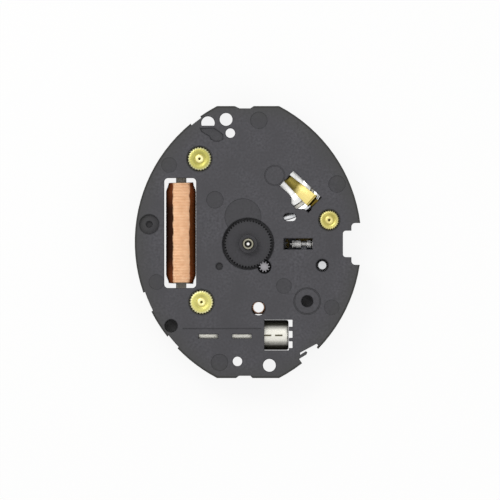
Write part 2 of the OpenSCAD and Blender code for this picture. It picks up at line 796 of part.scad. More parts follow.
// Setting parts on the stem's axis
clutch_x0 = 2.89;
clutch_neck_x0 = 3.49;
clutch_neck_x1 = 3.88;
clutch_x1 = 4.14;
clutch_neck_r = 0.13;
pilot_r = 0.07;
crown_n = 8;
module on_stem(x0) {
    translate([x0, 0, stem_z]) rotate([0, 90, 0]) children();
}
module clutch_wheel() {
    color("#d8d6cf") difference() {
        union() {
            on_stem(clutch_x0 + 0.14) cylinder(r1 = clutch_r - 0.06, r2 = clutch_r, h = 0.2);
            on_stem(clutch_x0 + 0.34) cylinder(r = clutch_r, h = clutch_neck_x0 - clutch_x0 - 0.34);
            for (i = [0:crown_n - 1]) on_stem(clutch_x0) rotate(i * 360 / crown_n)
                translate([pilot_r + 0.05, -0.035, 0]) cube([0.1, 0.07, 0.2]);
            on_stem(clutch_neck_x0 - eps) cylinder(r = clutch_neck_r,
                h = clutch_neck_x1 - clutch_neck_x0 + 2 * eps);
            on_stem(clutch_neck_x1) cylinder(r = clutch_r, h = clutch_x1 - clutch_neck_x1);
        }
        on_stem(0) cylinder(r = pilot_r + 0.02, h = 9);
    }
}
groove_x0 = 4.28;
groove_x1 = 4.78;
stem_end = 6.2;
module winding_stem() {
    color("#c9ccd0") {
        on_stem(clutch_x0 - 0.14) cylinder(r = pilot_r, h = 4.3 - clutch_x0 + 0.14);
        on_stem(groove_x0 - 0.08) cylinder(r = 0.3, h = 0.08);
        on_stem(groove_x0) cylinder(r = 0.18, h = groove_x1 - groove_x0);
        on_stem(groove_x1) cylinder(r = stem_r, h = stem_end - groove_x1);
    }
}

// Levers: each turns on its own pin or stud; small pegs reach from two of them into grooves
lever_pad_r = 0.42;
lever_peg_r = 0.12;
finger_at = [(groove_x0 + groove_x1) / 2, 0];
module setting_lever() {
    color("#b4b7bb") {
        layer(setting_top - lever_t, setting_top) {
            bar(pin_at, finger_at, 0.5);
            bar(pin_at, [4.35, -2.1], 0.44);
            translate(pin_at) circle(lever_pad_r + 0.03);
        }
        peg(pin_at, lever_pin_r, setting_top - lever_t, down(0.15));
        peg(finger_at, lever_peg_r, setting_top, stem_z - 0.22);
    }
}
nose_at = [(clutch_neck_x0 + clutch_neck_x1) / 2, 0];
module yoke() {
    color("#a9adb2") difference() {
        union() {
            layer(yoke_top - lever_t, yoke_top) {
                bar(yoke_at, nose_at, 0.4);
                translate(yoke_at) circle(lever_pad_r);
                bar(yoke_at, yoke_at + [0.45, -0.35], 0.3);
            }
            peg(nose_at, lever_peg_r, yoke_top, stem_z - clutch_neck_r - 0.04);
        }
        peg(yoke_at, stud_r + run_gap, -4, 0);
    }
}
stop_at = [1.62, -0.62];
module reset_lever() {
    color("#a9adb2") difference() {
        layer(reset_top - wheel_t, reset_top) {
            bar(reset_at, [2.2, -1.5], 0.32);
            bar([2.2, -1.5], stop_at, 0.2);
            bar(reset_at, [3.9, -2.55], 0.3);
            translate(reset_at) circle(lever_pad_r);
        }
        peg(reset_at, stud_r + run_gap, -4, 0);
    }
}
jumper_w = 0.16;
module setting_jumper() {
    color("#b4b7bb") layer(setting_top - lever_t, setting_top) {
        bar([4.9, -2.55], [4.15, -2.5], jumper_w);
        translate([4.9, -2.6]) circle(jumper_w);
    }
}

// Bridges
centre_tube_r = seconds_r + run_gap + 0.06;
module centre_bridge() {
    color("#c3c6ca") difference() {
        union() {
            layer(seat_z - cbridge_t, seat_z) centre_bridge_outline();
            peg(centre, centre_tube_r, seat_z - cbridge_t, hour_top - 0.15);
        }
        peg(centre, seconds_r + run_gap, -4, 2);
        for (p = [minute_at, setting_at]) peg(p, arbor_r + run_gap, -4, 0);
        peg(fifth_at, pivot_r + pivot_gap, -4, 0);
    }
}
bridge_pillar_r = 0.52;
module train_bridge() {
    color("#c9b766") difference() {
        union() {
            layer(bridge_bottom, bridge_top) train_bridge_outline();
            peg(upper_post, bridge_pillar_r, bridge_top - eps, stator_bottom);
            peg(lower_post, bridge_pillar_r, bridge_top - eps, board_bottom);
        }
        for (p = [upper_post, lower_post, side_post]) peg(p, screw_r + screw_gap, -4, 0);
        for (p = [rotor_at, third_at, fifth_at, centre]) peg(p, pivot_r + pivot_gap, -4, 0);
    }
}
screw_reach = 0.5;
screw_slot_w = 0.12;
screw_slot_depth = 0.1;
module bridge_screws() {
    color("#d0d2d5") for (s = [[upper_post, core_top + screw_reach],
                               [lower_post, core_top + screw_reach],
                               [side_post, side_post_bottom + screw_reach - 0.1]]) difference() {
        union() {
            peg(s[0], screw_head_r, bridge_bottom - screw_head_t, bridge_bottom);
            peg(s[0], screw_r, bridge_bottom, s[1]);
        }
        layer(bridge_bottom - 1, bridge_bottom - screw_head_t + screw_slot_depth) translate(s[0])
            rotate(35) square([3, screw_slot_w], center = true);
    }
}

// Circuit
board_hole_r = 0.34;
module circuit_board() {
    color("#8a5a3a") difference() {
        layer(board_bottom, board_top) board_outline();
        peg(lower_post, screw_r + screw_gap, -4, 0);
        peg(sight_hole + [0, 0.08], board_hole_r, -4, 0);
    }
}
module ic_chip() {
    color("#1c1c1e") layer(board_bottom - chip_t, board_bottom) translate(chip_at)
        square([chip_w, 1], center = true);
}
can_round = 0.3;
module crystal_can() {
    color("#c9c8c4") translate([can_x0, can_y, can_z]) rotate([0, 90, 0]) {
        cylinder(d = can_d, h = can_l - can_round);
        translate([0, 0, can_l - can_round]) rotate_extrude() intersection() {
            union() {
                square([can_d / 2 - can_round, can_round]);
                translate([can_d / 2 - can_round, 0]) circle(can_round);
            }
            square([can_d / 2, can_round]);
        }
    }
}
can_lead_r = 0.08;
module crystal_leads() {
    color("#d9d9d6") for (y = [-0.3, 0.3]) {
        bend = [can_x0 - 0.35, can_y + y, can_z];
        wire([can_x0, can_y + y, can_z], bend, can_lead_r);
        wire(bend, [can_x0 - 0.9, can_y + y, board_top + can_lead_r], can_lead_r);
    }
}

// Battery and its contacts
strip_t = 0.08;
strip_high = -0.04;
strip_low = cell_top * 0.44;
strip_foot = down(2.84);
module negative_contact() {
    color("#d8c26e") intersection() {
        layer(-3, 0) contact_strip();
        translate(contact_at) rotate(contact_turn) rotate([90, 0, 0])
            translate([0, 0, -1]) linear_extrude(2) polygon([
                [-1.9, cell_top], [-1.9, cell_top + strip_t], [-1.6, cell_top + strip_t],
                [0, strip_high], [1.12, strip_high], [1.24, strip_low], [1.75, strip_low],
                [1.75, strip_foot], [1.67, strip_foot], [1.67, strip_low - strip_t],
                [1.16, strip_low - strip_t], [1.05, strip_high - strip_t],
                [0.02, strip_high - strip_t], [-1.55, cell_top]]);
    }
}
gasket_r = 2.95;
cap_r = 2.75;
step_h = 0.3;
// How far the can's rim and the seal's rim lie below the cap
can_below = 0.12;
gasket_below = 0.09;
module battery_can() {
    color("#d3d4d6") difference() {
        peg(cell_at, cell_d / 2, cell_bottom, cell_top - can_below);
        peg(cell_at, gasket_r, cell_top - step_h - can_below, 0);
    }
}
module battery_gasket() {
    color("#e9e4d2") difference() {
        peg(cell_at, gasket_r, cell_top - step_h - can_below, cell_top - gasket_below);
        peg(cell_at, cap_r, cell_top - step_h, 0);
    }
}
module battery_cap() {
    color("#dcdddf") peg(cell_at, cap_r, cell_top - step_h, cell_top);
}

// Point on the plate's edge, or inset from it, in the direction a
function edge_at(a, inset) = let (
    d = [cos(a), sin(a)],
    c = [cos(a) < 0 ? arc_shift : -arc_shift, arc_rise],
    along = d * c)
    d * (along + sqrt(along * along - c * c + (arc_r - inset) * (arc_r - inset)));

// Back: insulating sheet and steel plate with its battery clamp, both cut away behind the
// crown's notch
back_inset = 0.35;
hook_angles = [220, 328, 341];
crown_clear_x = 5.9;
cell_clear = 0.15;
crown_clear = notch_outer_h + 0.15;
module back_plate_outline() {
    difference() {
        intersection() {
            lens(back_inset);
            union() {
                soft_box([-3.35, -4.75], [arc_r, 0.85], 0.4);
                bar([-3, -4.3], edge_at(hook_angles[0], back_inset), 0.8);
            }
        }
        translate(cell_at) circle(bay_r + cell_clear);
        translate(sight_hole) circle(sight_r + 0.15);
        translate([crown_clear_x, -crown_clear]) square([2, 2 * crown_clear]);
    }
}
module insulator() {
    color("#3b6ea8") difference() {
        layer(sheet_bottom, -plate_h) back_plate_outline();
        for (a = hook_angles) hook(a, fit, back_z - 1);
    }
}
hook_w = 0.6;
hook_top = down(2.3);
hook_inset = back_inset + 0.05;
// Clip bent up near the back plate's edge into a slot of the main plate
module hook(a, extra, low) {
    layer(low, hook_top + extra) intersection() {
        difference() {
            lens(hook_inset - extra);
            lens(hook_inset + back_t + extra);
        }
        rotate(a) translate([0, -hook_w / 2 - extra]) square([12, hook_w + 2 * extra]);
    }
}
// Width of the two fingers that press the battery in
clamp_w = 0.7;
module back_plate() {
    color("#cfd1d3") {
        layer(back_z, sheet_bottom) {
            back_plate_outline();
            bar([4.9, 0.6], [3.9, 2.4], clamp_w);
            bar([-1.2, 0.4], [-0.1, 2.85], clamp_w);
        }
        for (a = hook_angles) hook(a, 0, back_z);
    }
}

main_plate();
post_upper();
post_lower();
post_side();
coil_core();
coil_winding();
coil_leads();
stator();
rotor_magnet();
rotor_pinion();
fifth_wheel();
fifth_pinion();
seconds_wheel();
seconds_arbor();
third_wheel();
third_pinion();
centre_wheel();
cannon_pinion();
minute_wheel();
minute_pinion();
hour_wheel();
setting_wheel();
clutch_wheel();
winding_stem();
setting_lever();
yoke();
reset_lever();
setting_jumper();
centre_bridge();
train_bridge();
bridge_screws();
circuit_board();
ic_chip();
crystal_can();
crystal_leads();
negative_contact();
battery_can();
battery_gasket();
battery_cap();
insulator();
back_plate();
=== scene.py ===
"""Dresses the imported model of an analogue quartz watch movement, seen from its dial side.

Lengths are written in millimetres and turned to metres where a mesh is made.
"""

import json
import math

import bmesh
import bpy
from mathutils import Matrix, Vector


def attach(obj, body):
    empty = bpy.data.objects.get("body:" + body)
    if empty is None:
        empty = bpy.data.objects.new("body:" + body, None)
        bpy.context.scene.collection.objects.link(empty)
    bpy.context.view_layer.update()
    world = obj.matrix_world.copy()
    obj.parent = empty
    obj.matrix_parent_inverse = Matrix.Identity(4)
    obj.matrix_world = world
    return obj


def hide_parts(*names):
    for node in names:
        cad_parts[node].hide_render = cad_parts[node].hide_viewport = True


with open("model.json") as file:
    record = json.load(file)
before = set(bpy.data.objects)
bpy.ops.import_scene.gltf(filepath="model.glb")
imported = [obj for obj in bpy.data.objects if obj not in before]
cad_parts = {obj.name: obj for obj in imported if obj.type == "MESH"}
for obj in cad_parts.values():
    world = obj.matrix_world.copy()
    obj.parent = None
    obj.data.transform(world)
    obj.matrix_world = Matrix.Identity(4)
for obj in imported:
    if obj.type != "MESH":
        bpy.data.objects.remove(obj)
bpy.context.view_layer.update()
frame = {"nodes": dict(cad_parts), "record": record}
MM = 0.001

# Places shared with the part's source, in millimetres from the hands' axis
CENTRE = (0, 0)
UPPER_POST, LOWER_POST, SIDE_POST = (-3.2, 5.6), (-3.07, -3.83), (5.34, 1.57)
THIRD, FIFTH, MINUTE = (-1.47, 0.85), (-0.245, -1.859), (1.07, -1.5)
CELL, CELL_R = (1.75, 4.85), 3.4
COIL_X, COIL_Y0, COIL_Z = -4.4, -2.55, -1.3
CAN_X0, CAN_X1, CAN_Y, CAN_Z = -3.37, 2.66, -5.99, -1.35
CONTACT, CONTACT_TURN = (3.38, 3.58), math.radians(-42)
SIGHT = (0.69, -4.17)
# The plate's outline: two arcs, their centres shifted to the sides, cut off by two flats
ARC_R, ARC_SHIFT, ARC_RISE, FLAT_TOP, FLAT_BOTTOM = 10.1, 2.64, 0.12, 9.07, 8.83
# Heights below the dial seat
CORE_TOP, BOARD_TOP, SHEET_BOTTOM, BACK = -1.12, -1.84, -3.05, -3.15
CELL_TOP = SHEET_BOTTOM + 2.6


def linear(hex_colour):
    """sRGB hex to the linear colour that a shader takes."""
    parts = [int(hex_colour[i : i + 2], 16) / 255 for i in (1, 3, 5)]
    return tuple(
        p / 12.92 if p <= 0.04045 else ((p + 0.055) / 1.055) ** 2.4 for p in parts
    ) + (1,)


def add(tree, kind, inputs=None, **settings):
    """Adds a node with its settings.

    inputs gives values, sockets to link or sRGB hex colours, by the input's name or number.
    """
    node = tree.nodes.new(kind)
    for name, value in settings.items():
        setattr(node, name, value)
    for name, value in (inputs or {}).items():
        if isinstance(value, bpy.types.NodeSocket):
            tree.links.new(value, node.inputs[name])
        else:
            value = linear(value) if isinstance(value, str) else value
            node.inputs[name].default_value = value
    return node


def surface(name, metallic=0.0, roughness=0.5, **constants):
    """A new material, its tree and the place on the piece in metres."""
    material = bpy.data.materials.new(name)
    material.use_nodes = True
    tree = material.node_tree
    shader = tree.nodes["Principled BSDF"]
    shader.inputs["Metallic"].default_value = metallic
    shader.inputs["Roughness"].default_value = roughness
    for socket, value in constants.items():
        shader.inputs[socket.replace("_", " ")].default_value = value
    return material, tree, add(tree, "ShaderNodeTexCoord").outputs["Object"]


def finished(material, colour, rough=None, height=None, depth=0.0):
    """Links a finish to the material's shader.

    rough is a factor with the roughness where it is 0 and where it is 1. The surface stands
    depth millimetres higher where height is 1.
    """
    tree = material.node_tree
    shader = tree.nodes["Principled BSDF"]
    tree.links.new(colour, shader.inputs["Base Color"])
    if rough is not None:
        factor, low, high = rough
        spread = add(tree, "ShaderNodeMapRange", {"Value": factor, "To Min": low, "To Max": high})
        tree.links.new(spread.outputs[0], shader.inputs["Roughness"])
    if height is not None:
        bump = add(
            tree, "ShaderNodeBump", {"Strength": 1.0, "Distance": depth * MM, "Height": height}
        )
        tree.links.new(bump.outputs[0], shader.inputs["Normal"])
    return material


def layered(tree, colour, *layers):
    """Lays further colours over a first one. Each layer is (factor, colour)."""
    for factor, over in layers:
        colour = add(
            tree, "ShaderNodeMix", {0: factor, 6: colour, 7: over}, data_type="RGBA"
        ).outputs[2]
    return colour


def per_mm(size):
    """Scale of a noise whose grains are that many millimetres across."""
    return 1000 / size


def blotches(tree, place, size, low=0.0, high=1.0, detail=3.0):
    """A factor that wanders between low and high, with blotches of that size in millimetres."""
    noise = add(
        tree, "ShaderNodeTexNoise", {"Vector": place, "Scale": per_mm(size), "Detail": detail}
    )
    # Hardly any of the noise lies outside 0.3 to 0.7
    return add(
        tree,
        "ShaderNodeMapRange",
        {"Value": noise.outputs[0], "From Min": 0.3, "From Max": 0.7, "To Min": low,
         "To Max": high},
    ).outputs[0]


def drawn_lines(tree, place, width, stretch, turn=0.0):
    """Fine lines of that width in millimetres; stretch says how much finer they are along X."""
    moved = add(
        tree,
        "ShaderNodeMapping",
        {"Vector": place, "Rotation": (0, 0, turn), "Scale": (stretch, 1.0, 1.0)},
    )
    return add(
        tree,
        "ShaderNodeTexNoise",
        {"Vector": moved.outputs[0], "Scale": per_mm(width), "Detail": 2.0},
    ).outputs[0]


def by_distance(tree, value, at, start, end, most=1.0):
    """A factor that goes from 0 to most between two distances of a coordinate from a place.

    The place lies on the coordinate's own axis; it and the distances are in millimetres.
    """
    off = add(tree, "ShaderNodeMath", {0: value, 1: -at * MM}, operation="ADD")
    away = add(tree, "ShaderNodeMath", {0: off.outputs[0]}, operation="ABSOLUTE")
    return add(
        tree,
        "ShaderNodeMapRange",
        {"Value": away.outputs[0], "From Min": start * MM, "From Max": end * MM, "To Max": most},
    ).outputs[0]


def radial(tree, place, centre, stops):
    """Colours by the distance from an upright axis: stops are (millimetres, sRGB hex)."""
    span = stops[-1][0]
    moved = add(
        tree,
        "ShaderNodeMapping",
        {"Vector": place, "Location": (-centre[0], -centre[1], 0),
         "Scale": (1 / MM, 1 / MM, 0)},
    )
    away = add(tree, "ShaderNodeVectorMath", {0: moved.outputs[0]}, operation="LENGTH")
    share = add(tree, "ShaderNodeMapRange", {"Value": away.outputs["Value"], "From Max": span})
    ramp = add(tree, "ShaderNodeValToRGB", {0: share.outputs[0]})
    marks = ramp.color_ramp.elements
    while len(marks) < len(stops):
        marks.new(0.5)
    for mark, (radius, colour) in zip(marks, stops):
        mark.position = radius / span
        mark.color = linear(colour)
    return ramp.outputs[0]


def rim(tree, place, inner, outer, most):
    """A factor that rises to most along the plate's outline, between two distances from it."""
    flat = add(
        tree, "ShaderNodeMapping", {"Vector": place, "Scale": (1 / MM, 1 / MM, 0)}
    ).outputs[0]
    along = add(tree, "ShaderNodeSeparateXYZ", {0: flat}).outputs[1]
    borders = [
        (along, FLAT_TOP - inner, FLAT_TOP - outer, 0, most),
        (along, outer - FLAT_BOTTOM, inner - FLAT_BOTTOM, most, 0),
    ]
    for shift in (-ARC_SHIFT, ARC_SHIFT):
        away = add(
            tree, "ShaderNodeVectorMath", {0: flat, 1: (shift, ARC_RISE, 0)}, operation="DISTANCE"
        )
        borders.append((away.outputs["Value"], ARC_R - inner, ARC_R - outer, 0, most))
    factor = None
    for value, start, end, low, high in borders:
        near = add(
            tree,
            "ShaderNodeMapRange",
            {"Value": value, "From Min": start, "From Max": end, "To Min": low, "To Max": high},
        ).outputs[0]
        factor = near if factor is None else add(
            tree, "ShaderNodeMath", {0: factor, 1: near}, operation="MAXIMUM"
        ).outputs[0]
    return factor


def moulded(name, light, dark, roughness, shade=None, zones=None):
    """Injection moulded resin: an even, dull skin with the pitting of a spark-eroded mould.

    shade is the colour of the painted shade on the main plate's sunk walls and floors; only a skin
    given it also takes the lighter painted shade of shallow recesses and the darker outline. zones
    are colours by the distance from the hands' axis.
    """
    material, tree, place = surface(name, 0.0, roughness)
    # The real pits are about 0.02 mm; they are drawn eight times as coarse, to show
    pits = blotches(tree, place, 0.16)
    cloud = blotches(tree, place, 2.4)
    both = add(tree, "ShaderNodeMath", {0: pits, 1: cloud, 2: 0.1}, operation="MULTIPLY_ADD")
    skin = radial(tree, place, CENTRE, zones) if zones else light
    colour = layered(tree, dark, (both.outputs[0], skin))
    if shade:
        height = add(tree, "ShaderNodeSeparateXYZ", {0: place}).outputs[2]
        mark, sunk, raised = (
            add(
                tree,
                "ShaderNodeMapRange",
                {"Value": height, "From Min": start * MM, "From Max": end * MM, "To Min": low,
                 "To Max": high},
            ).outputs[0]
            for start, end, low, high in (
                (-0.012, -0.022, 0, 0.4), (-0.125, -0.2, 0, 1), (-2.9, -2.97, 1, 0)
            )
        )
        below = add(tree, "ShaderNodeMath", {0: sunk, 1: raised}, operation="MULTIPLY")
        colour = layered(
            tree,
            colour,
            # Painted shade: every surface sunk more than about 0.012 mm, the ejector pin marks,
            # seat rims and shallow pockets among them, is darkened a little
            (mark, "#28282a"),
            # Painted shade: walls and floors well below the top face, down to just above the
            # bottom face, take the shade colour
            (below.outputs[0], shade),
            # The skin turns darker and more olive over the last 1.1 mm towards the outline; its
            # very edge is darker still, painted shade where the broken edge turns away from the
            # light
            (rim(tree, place, 1.1, 0.2, 0.45), "#383834"),
            (rim(tree, place, 0.15, 0.1, 0.8), "#21211c"),
        )
    return finished(material, colour, (cloud, roughness - 0.06, roughness + 0.06), pits, 0.004)


def turned_metal(name, light, dark, roughness, centre, ring=0.12, stops=None):
    """Metal faced on a lathe: fine rings round its own axis, which give a soft fan of light.

    stops are colours by the distance from that axis, in place of the light one.
    """
    material, tree, place = surface(name, 1.0, roughness)
    moved = add(
        tree,
        "ShaderNodeMapping",
        {"Vector": place, "Location": (-centre[0] * MM, -centre[1] * MM, 0)},
    )
    # Feed marks are really about 0.02 mm apart; these are drawn wide enough to show
    rings = add(
        tree,
        "ShaderNodeTexWave",
        {"Vector": moved.outputs[0], "Scale": per_mm(ring) / 20, "Distortion": 1.2,
         "Detail": 2.0, "Detail Scale": 1.5},
        wave_type="RINGS",
        rings_direction="Z",
    ).outputs[1]
    worn = blotches(tree, place, 0.5)
    shade = add(tree, "ShaderNodeMath", {0: rings, 1: worn}, operation="MULTIPLY").outputs[0]
    if stops:
        light = radial(tree, place, centre, stops)
        shade = add(tree, "ShaderNodeMath", {0: shade, 1: 0.4}, operation="MULTIPLY").outputs[0]
    colour = layered(tree, light, (shade, dark))
    return finished(material, colour, (worn, roughness - 0.07, roughness + 0.07), rings, 0.002)


def rolled_metal(name, light, dark, roughness, turn=0.0):
    """Sheet metal, rolled then stamped: long faint grain one way, with small dull patches."""
    material, tree, place = surface(name, 1.0, roughness)
    # Rolling lines are a few micrometres apart; they are drawn 0.06 mm wide, to show
    lines = drawn_lines(tree, place, 0.06, 0.08, turn)
    worn = blotches(tree, place, 0.7)
    shade = add(tree, "ShaderNodeMath", {0: lines, 1: worn}, operation="MULTIPLY").outputs[0]
    colour = layered(tree, light, (shade, dark))
    return finished(material, colour, (lines, roughness - 0.08, roughness + 0.08), lines, 0.002)


def plated_metal(name, light, dark, roughness, size=0.3, metallic=1.0):
    """Nickel plating over drawn steel: bright, with the orange-peel ripple of its bath."""
    material, tree, place = surface(name, metallic, roughness)
    ripple = blotches(tree, place, size, detail=1.0)
    haze = blotches(tree, place, 1.6)
    colour = layered(tree, light, (haze, dark))
    return finished(material, colour, (haze, roughness, roughness + 0.12), ripple, 0.003)


def enamelled_copper():
    """Copper wire under clear enamel, wound in layers: pinkish tops, painted shade in brown down
    the sides.
    """
    material, tree, place = surface("enamelled_copper_wire", Coat_Roughness=0.2)
    spot = add(tree, "ShaderNodeSeparateXYZ", {0: place}).outputs
    off = add(tree, "ShaderNodeMath", {0: spot[0], 1: -COIL_X * MM}, operation="ADD").outputs[0]
    away = add(tree, "ShaderNodeMath", {0: off}, operation="ABSOLUTE").outputs[0]
    wander = blotches(tree, place, 0.5, -0.03 * MM, 0.03 * MM, 1.0)
    reach = add(tree, "ShaderNodeMath", {0: away, 1: wander}, operation="ADD")
    # Painted shade: the winding's flanks, where it curves down away from the light, are painted
    # dark brown
    flank = add(
        tree,
        "ShaderNodeMapRange",
        {"Value": reach.outputs[0], "From Min": 0.5 * MM, "From Max": 0.58 * MM},
        interpolation_type="SMOOTHSTEP",
    ).outputs[0]
    top = layered(tree, "#f2c59c", (blotches(tree, place, 0.35), "#e6b388"))
    # The right flank's painted shade is a lighter brown than the left's
    right_flank = add(tree, "ShaderNodeMapRange", {"Value": off, "From Max": 0.5 * MM}).outputs[0]
    # Towards the winding's ends, away from its middle, the painted shade on the flanks is a
    # lighter brown
    ends = by_distance(tree, spot[1], 0.7, 1.6, 3.2)
    painted_flank_shade = layered(tree, "#3a2218", (right_flank, "#66381c"), (ends, "#7c4022"))
    # Where the flanks are painted as shade they are also dull: neither metal nor enamel shines
    # there
    shader = tree.nodes["Principled BSDF"]
    for name, most in (("Metallic", 0.35), ("Coat Weight", 0.25), ("Specular IOR Level", 0.5)):
        share = add(tree, "ShaderNodeMapRange", {"Value": flank, "To Min": most, "To Max": 0.0})
        tree.links.new(share.outputs[0], shader.inputs[name])
    return finished(material, layered(tree, top, (flank, painted_flank_shade)), (flank, 0.38, 0.8))


def spring_strip():
    """Gilt spring strip: brushed gold where it lies flat, painted shade in dark olive where it
    slopes and where its end folds away.
    """
    material, tree, place = surface("gilt_spring_strip", 1.0, 0.34)
    moved = add(
        tree,
        "ShaderNodeMapping",
        {"Vector": place, "Location": (CONTACT[0] * MM, CONTACT[1] * MM, 0),
         "Rotation": (0, 0, CONTACT_TURN)},
        vector_type="TEXTURE",
    ).outputs[0]
    along = add(tree, "ShaderNodeSeparateXYZ", {0: moved}).outputs[0]
    lines = drawn_lines(tree, moved, 0.1, 0.1)
    wander = blotches(tree, place, 0.5, -0.06 * MM, 0.06 * MM)
    reach = add(tree, "ShaderNodeMath", {0: along, 1: wander}, operation="ADD")
    painted_slope_shade = add(
        tree,
        "ShaderNodeMapRange",
        {"Value": reach.outputs[0], "From Min": 0.12 * MM, "From Max": -0.28 * MM},
    )
    down = add(
        tree, "ShaderNodeMapRange", {"Value": along, "From Min": 1.04 * MM, "From Max": 1.12 * MM}
    )
    colour = layered(
        tree,
        "#f6e596",
        (lines, "#e6cf7e"),
        # Painted shade: on one side of the bend the strip slopes and would mirror the dark plate,
        # so the gold is painted dark olive there
        (painted_slope_shade.outputs[0], "#5f5528"),
        # A darker line runs along the fold at 1.02 mm, and beyond it the end folded down into its
        # slot is painted dark olive as painted shade
        (by_distance(tree, along, 1.02, 0.035, 0.015), "#8a7436"),
        (down.outputs[0], "#6b5a24"),
    )
    return finished(material, colour, height=lines, depth=0.002)


def drawn_can():
    """Deep drawn nickel silver can: satin, with fine draw lines along it, painted shade on its
    sides and two dark dashes of painted reflection.
    """
    material, tree, place = surface("nickel_silver_can", 0.6)
    lines = drawn_lines(tree, place, 0.12, 0.06)
    spot = add(tree, "ShaderNodeSeparateXYZ", {0: place}).outputs
    # The line of the painted dashes lies a hair below the can's axis, and the painted shade on the
    # sides is measured from it
    dash_line_y = CAN_Y - 0.03
    first, second = (by_distance(tree, spot[0], x, 0.28, 0.22) for x in (1.28, 2.02))
    dashes = add(tree, "ShaderNodeMath", {0: first, 1: second}, operation="MAXIMUM").outputs[0]
    line = by_distance(tree, spot[1], dash_line_y, 0.07, 0.04)
    reflected_dashes = add(tree, "ShaderNodeMath", {0: line, 1: dashes}, operation="MULTIPLY")
    colour = layered(
        tree,
        "#f4f2ea",
        (lines, "#e2e0d4"),
        # Painted shade and painted reflection: the can's sides, more than 0.58 mm from that line,
        # turn away from the light and would mirror the dark walls round them, so they are painted
        # dark olive
        (by_distance(tree, spot[1], dash_line_y, 0.58, 0.68, 0.9), "#454334"),
        # Painted reflection: two dark dashes along the can's top
        (reflected_dashes.outputs[0], "#54503c"),
    )
    return finished(material, colour, (lines, 0.3, 0.44), lines, 0.002)


def copper_laminate():
    """Circuit board: brown glass-epoxy with a woven look under a thin green-brown varnish."""
    material, tree, place = surface("glass_epoxy_laminate", 0.0, 0.42)
    # Glass bundles lie about 0.3 mm apart in thin laminate
    weave = add(tree, "ShaderNodeTexChecker", {"Vector": place, "Scale": per_mm(0.3)})
    woven = weave.outputs["Fac"]
    colour = layered(
        tree, "#6b4a2c", (blotches(tree, place, 0.4), "#7d5836"), (woven, "#6f4d2e")
    )
    return finished(material, colour, height=woven, depth=0.002)


def insulating_film():
    """Polyester film: thin, slightly cloudy blue sheet with a satin sheen."""
    material, tree, place = surface("polyester_film", 0.0, 0.3)
    cloud = blotches(tree, place, 1.2)
    colour = layered(tree, "#2f5f9c", (cloud, "#3b6fae"))
    return finished(material, colour, height=cloud, depth=0.004)


def sintered():
    """Sintered magnet: nearly black, with the open sparkle of pressed metal powder."""
    material, tree, place = surface("sintered_magnet", 0.6, 0.5)
    powder = blotches(tree, place, 0.05)
    colour = layered(tree, "#3a393c", (powder, "#5c5a5e"))
    return finished(material, colour, height=powder, depth=0.003)


# The shade colour is painted shade in the plate's deep recesses
PLATE_RESIN = moulded("glass_filled_black_resin", "#4e4d52", "#363539", 0.62, shade="#2f2e31")
WHEEL_RESIN = moulded("black_acetal", "#353439", "#2c2b30", 0.55)
# Painted shade: the disc turns darker towards its toothed rim, where shade falls between the teeth
# and into the recess round it
HOUR_RESIN = moulded(
    "black_acetal_disc", "#353439", "#28272b", 0.55,
    zones=((0.6, "#353439"), (1.25, "#333237"), (1.42, "#27262a"), (1.7, "#27262a")),
)
CHIP_RESIN = moulded("potting_resin", "#1f1f22", "#161618", 0.35)
PINION_RESIN = moulded("natural_acetal", "#e8e2d2", "#d8d0bc", 0.4)
SEAL_NYLON = moulded("natural_nylon", "#f4f2ea", "#e8e5da", 0.45)
# Painted light and shade: the hub and the knurl's crests are painted bright as highlights, the
# centre mark and the groove between dark as shade, and each post has its own lighter or darker
# copy of the brass
POST_BRASS = {
    name: turned_metal(
        "turned_brass_" + name, hub, "#9a9140", 0.42, place,
        stops=((0.06, "#5d5322"), (0.1, hub), (0.23, hub), (0.29, ring), (0.4, face),
               (radius - 0.17, face), (radius - 0.1, crest), (radius, crest)),
    )
    for name, place, radius, hub, ring, face, crest in (
        ("upper", UPPER_POST, 0.8, "#fff6b4", "#a8a050", "#bdb868", "#d6d4a2"),
        ("lower", LOWER_POST, 0.8, "#fdf5ac", "#c6bc6c", "#d6d07e", "#f2edb6"),
        ("side", SIDE_POST, 0.66, "#e8da90", "#b0a55a", "#cabf70", "#e6dd98"),
    )
}
WHEEL_GILT = {
    name: turned_metal("gilt_brass_" + name, "#dcc375", "#c6a957", 0.3, place)
    for name, place in (("fifth", FIFTH), ("seconds", CENTRE), ("third", THIRD))
}
BRIDGE_BRASS = rolled_metal("bronzed_brass", "#7a6a3c", "#5c5030", 0.4, 0.6)
CONTACT_GILT = spring_strip()
PINION_STEEL = turned_metal("turned_pinion_steel", "#c9cacb", "#9c9da0", 0.3, CENTRE)
MINUTE_STEEL = turned_metal("turned_steel_leaves", "#9a989b", "#6d6b6f", 0.34, MINUTE)
LEVER_STEEL = rolled_metal("tumbled_steel_sheet", "#d2d3d4", "#b0b1b3", 0.36, 1.1)
YOKE_STEEL = rolled_metal("tempered_steel_sheet", "#6c6d70", "#4d4e52", 0.36, 1.1)
BRIDGE_STEEL = rolled_metal("oiled_steel_sheet", "#6e6d6b", "#565553", 0.4, 0.3)
CANNON_NICKEL = turned_metal("turned_nickel_tube", "#a8a594", "#7d7a69", 0.34, CENTRE)
ARBOR_STEEL = plated_metal("burnished_arbor_steel", "#fbfaf6", "#eeece6", 0.2, 0.1)
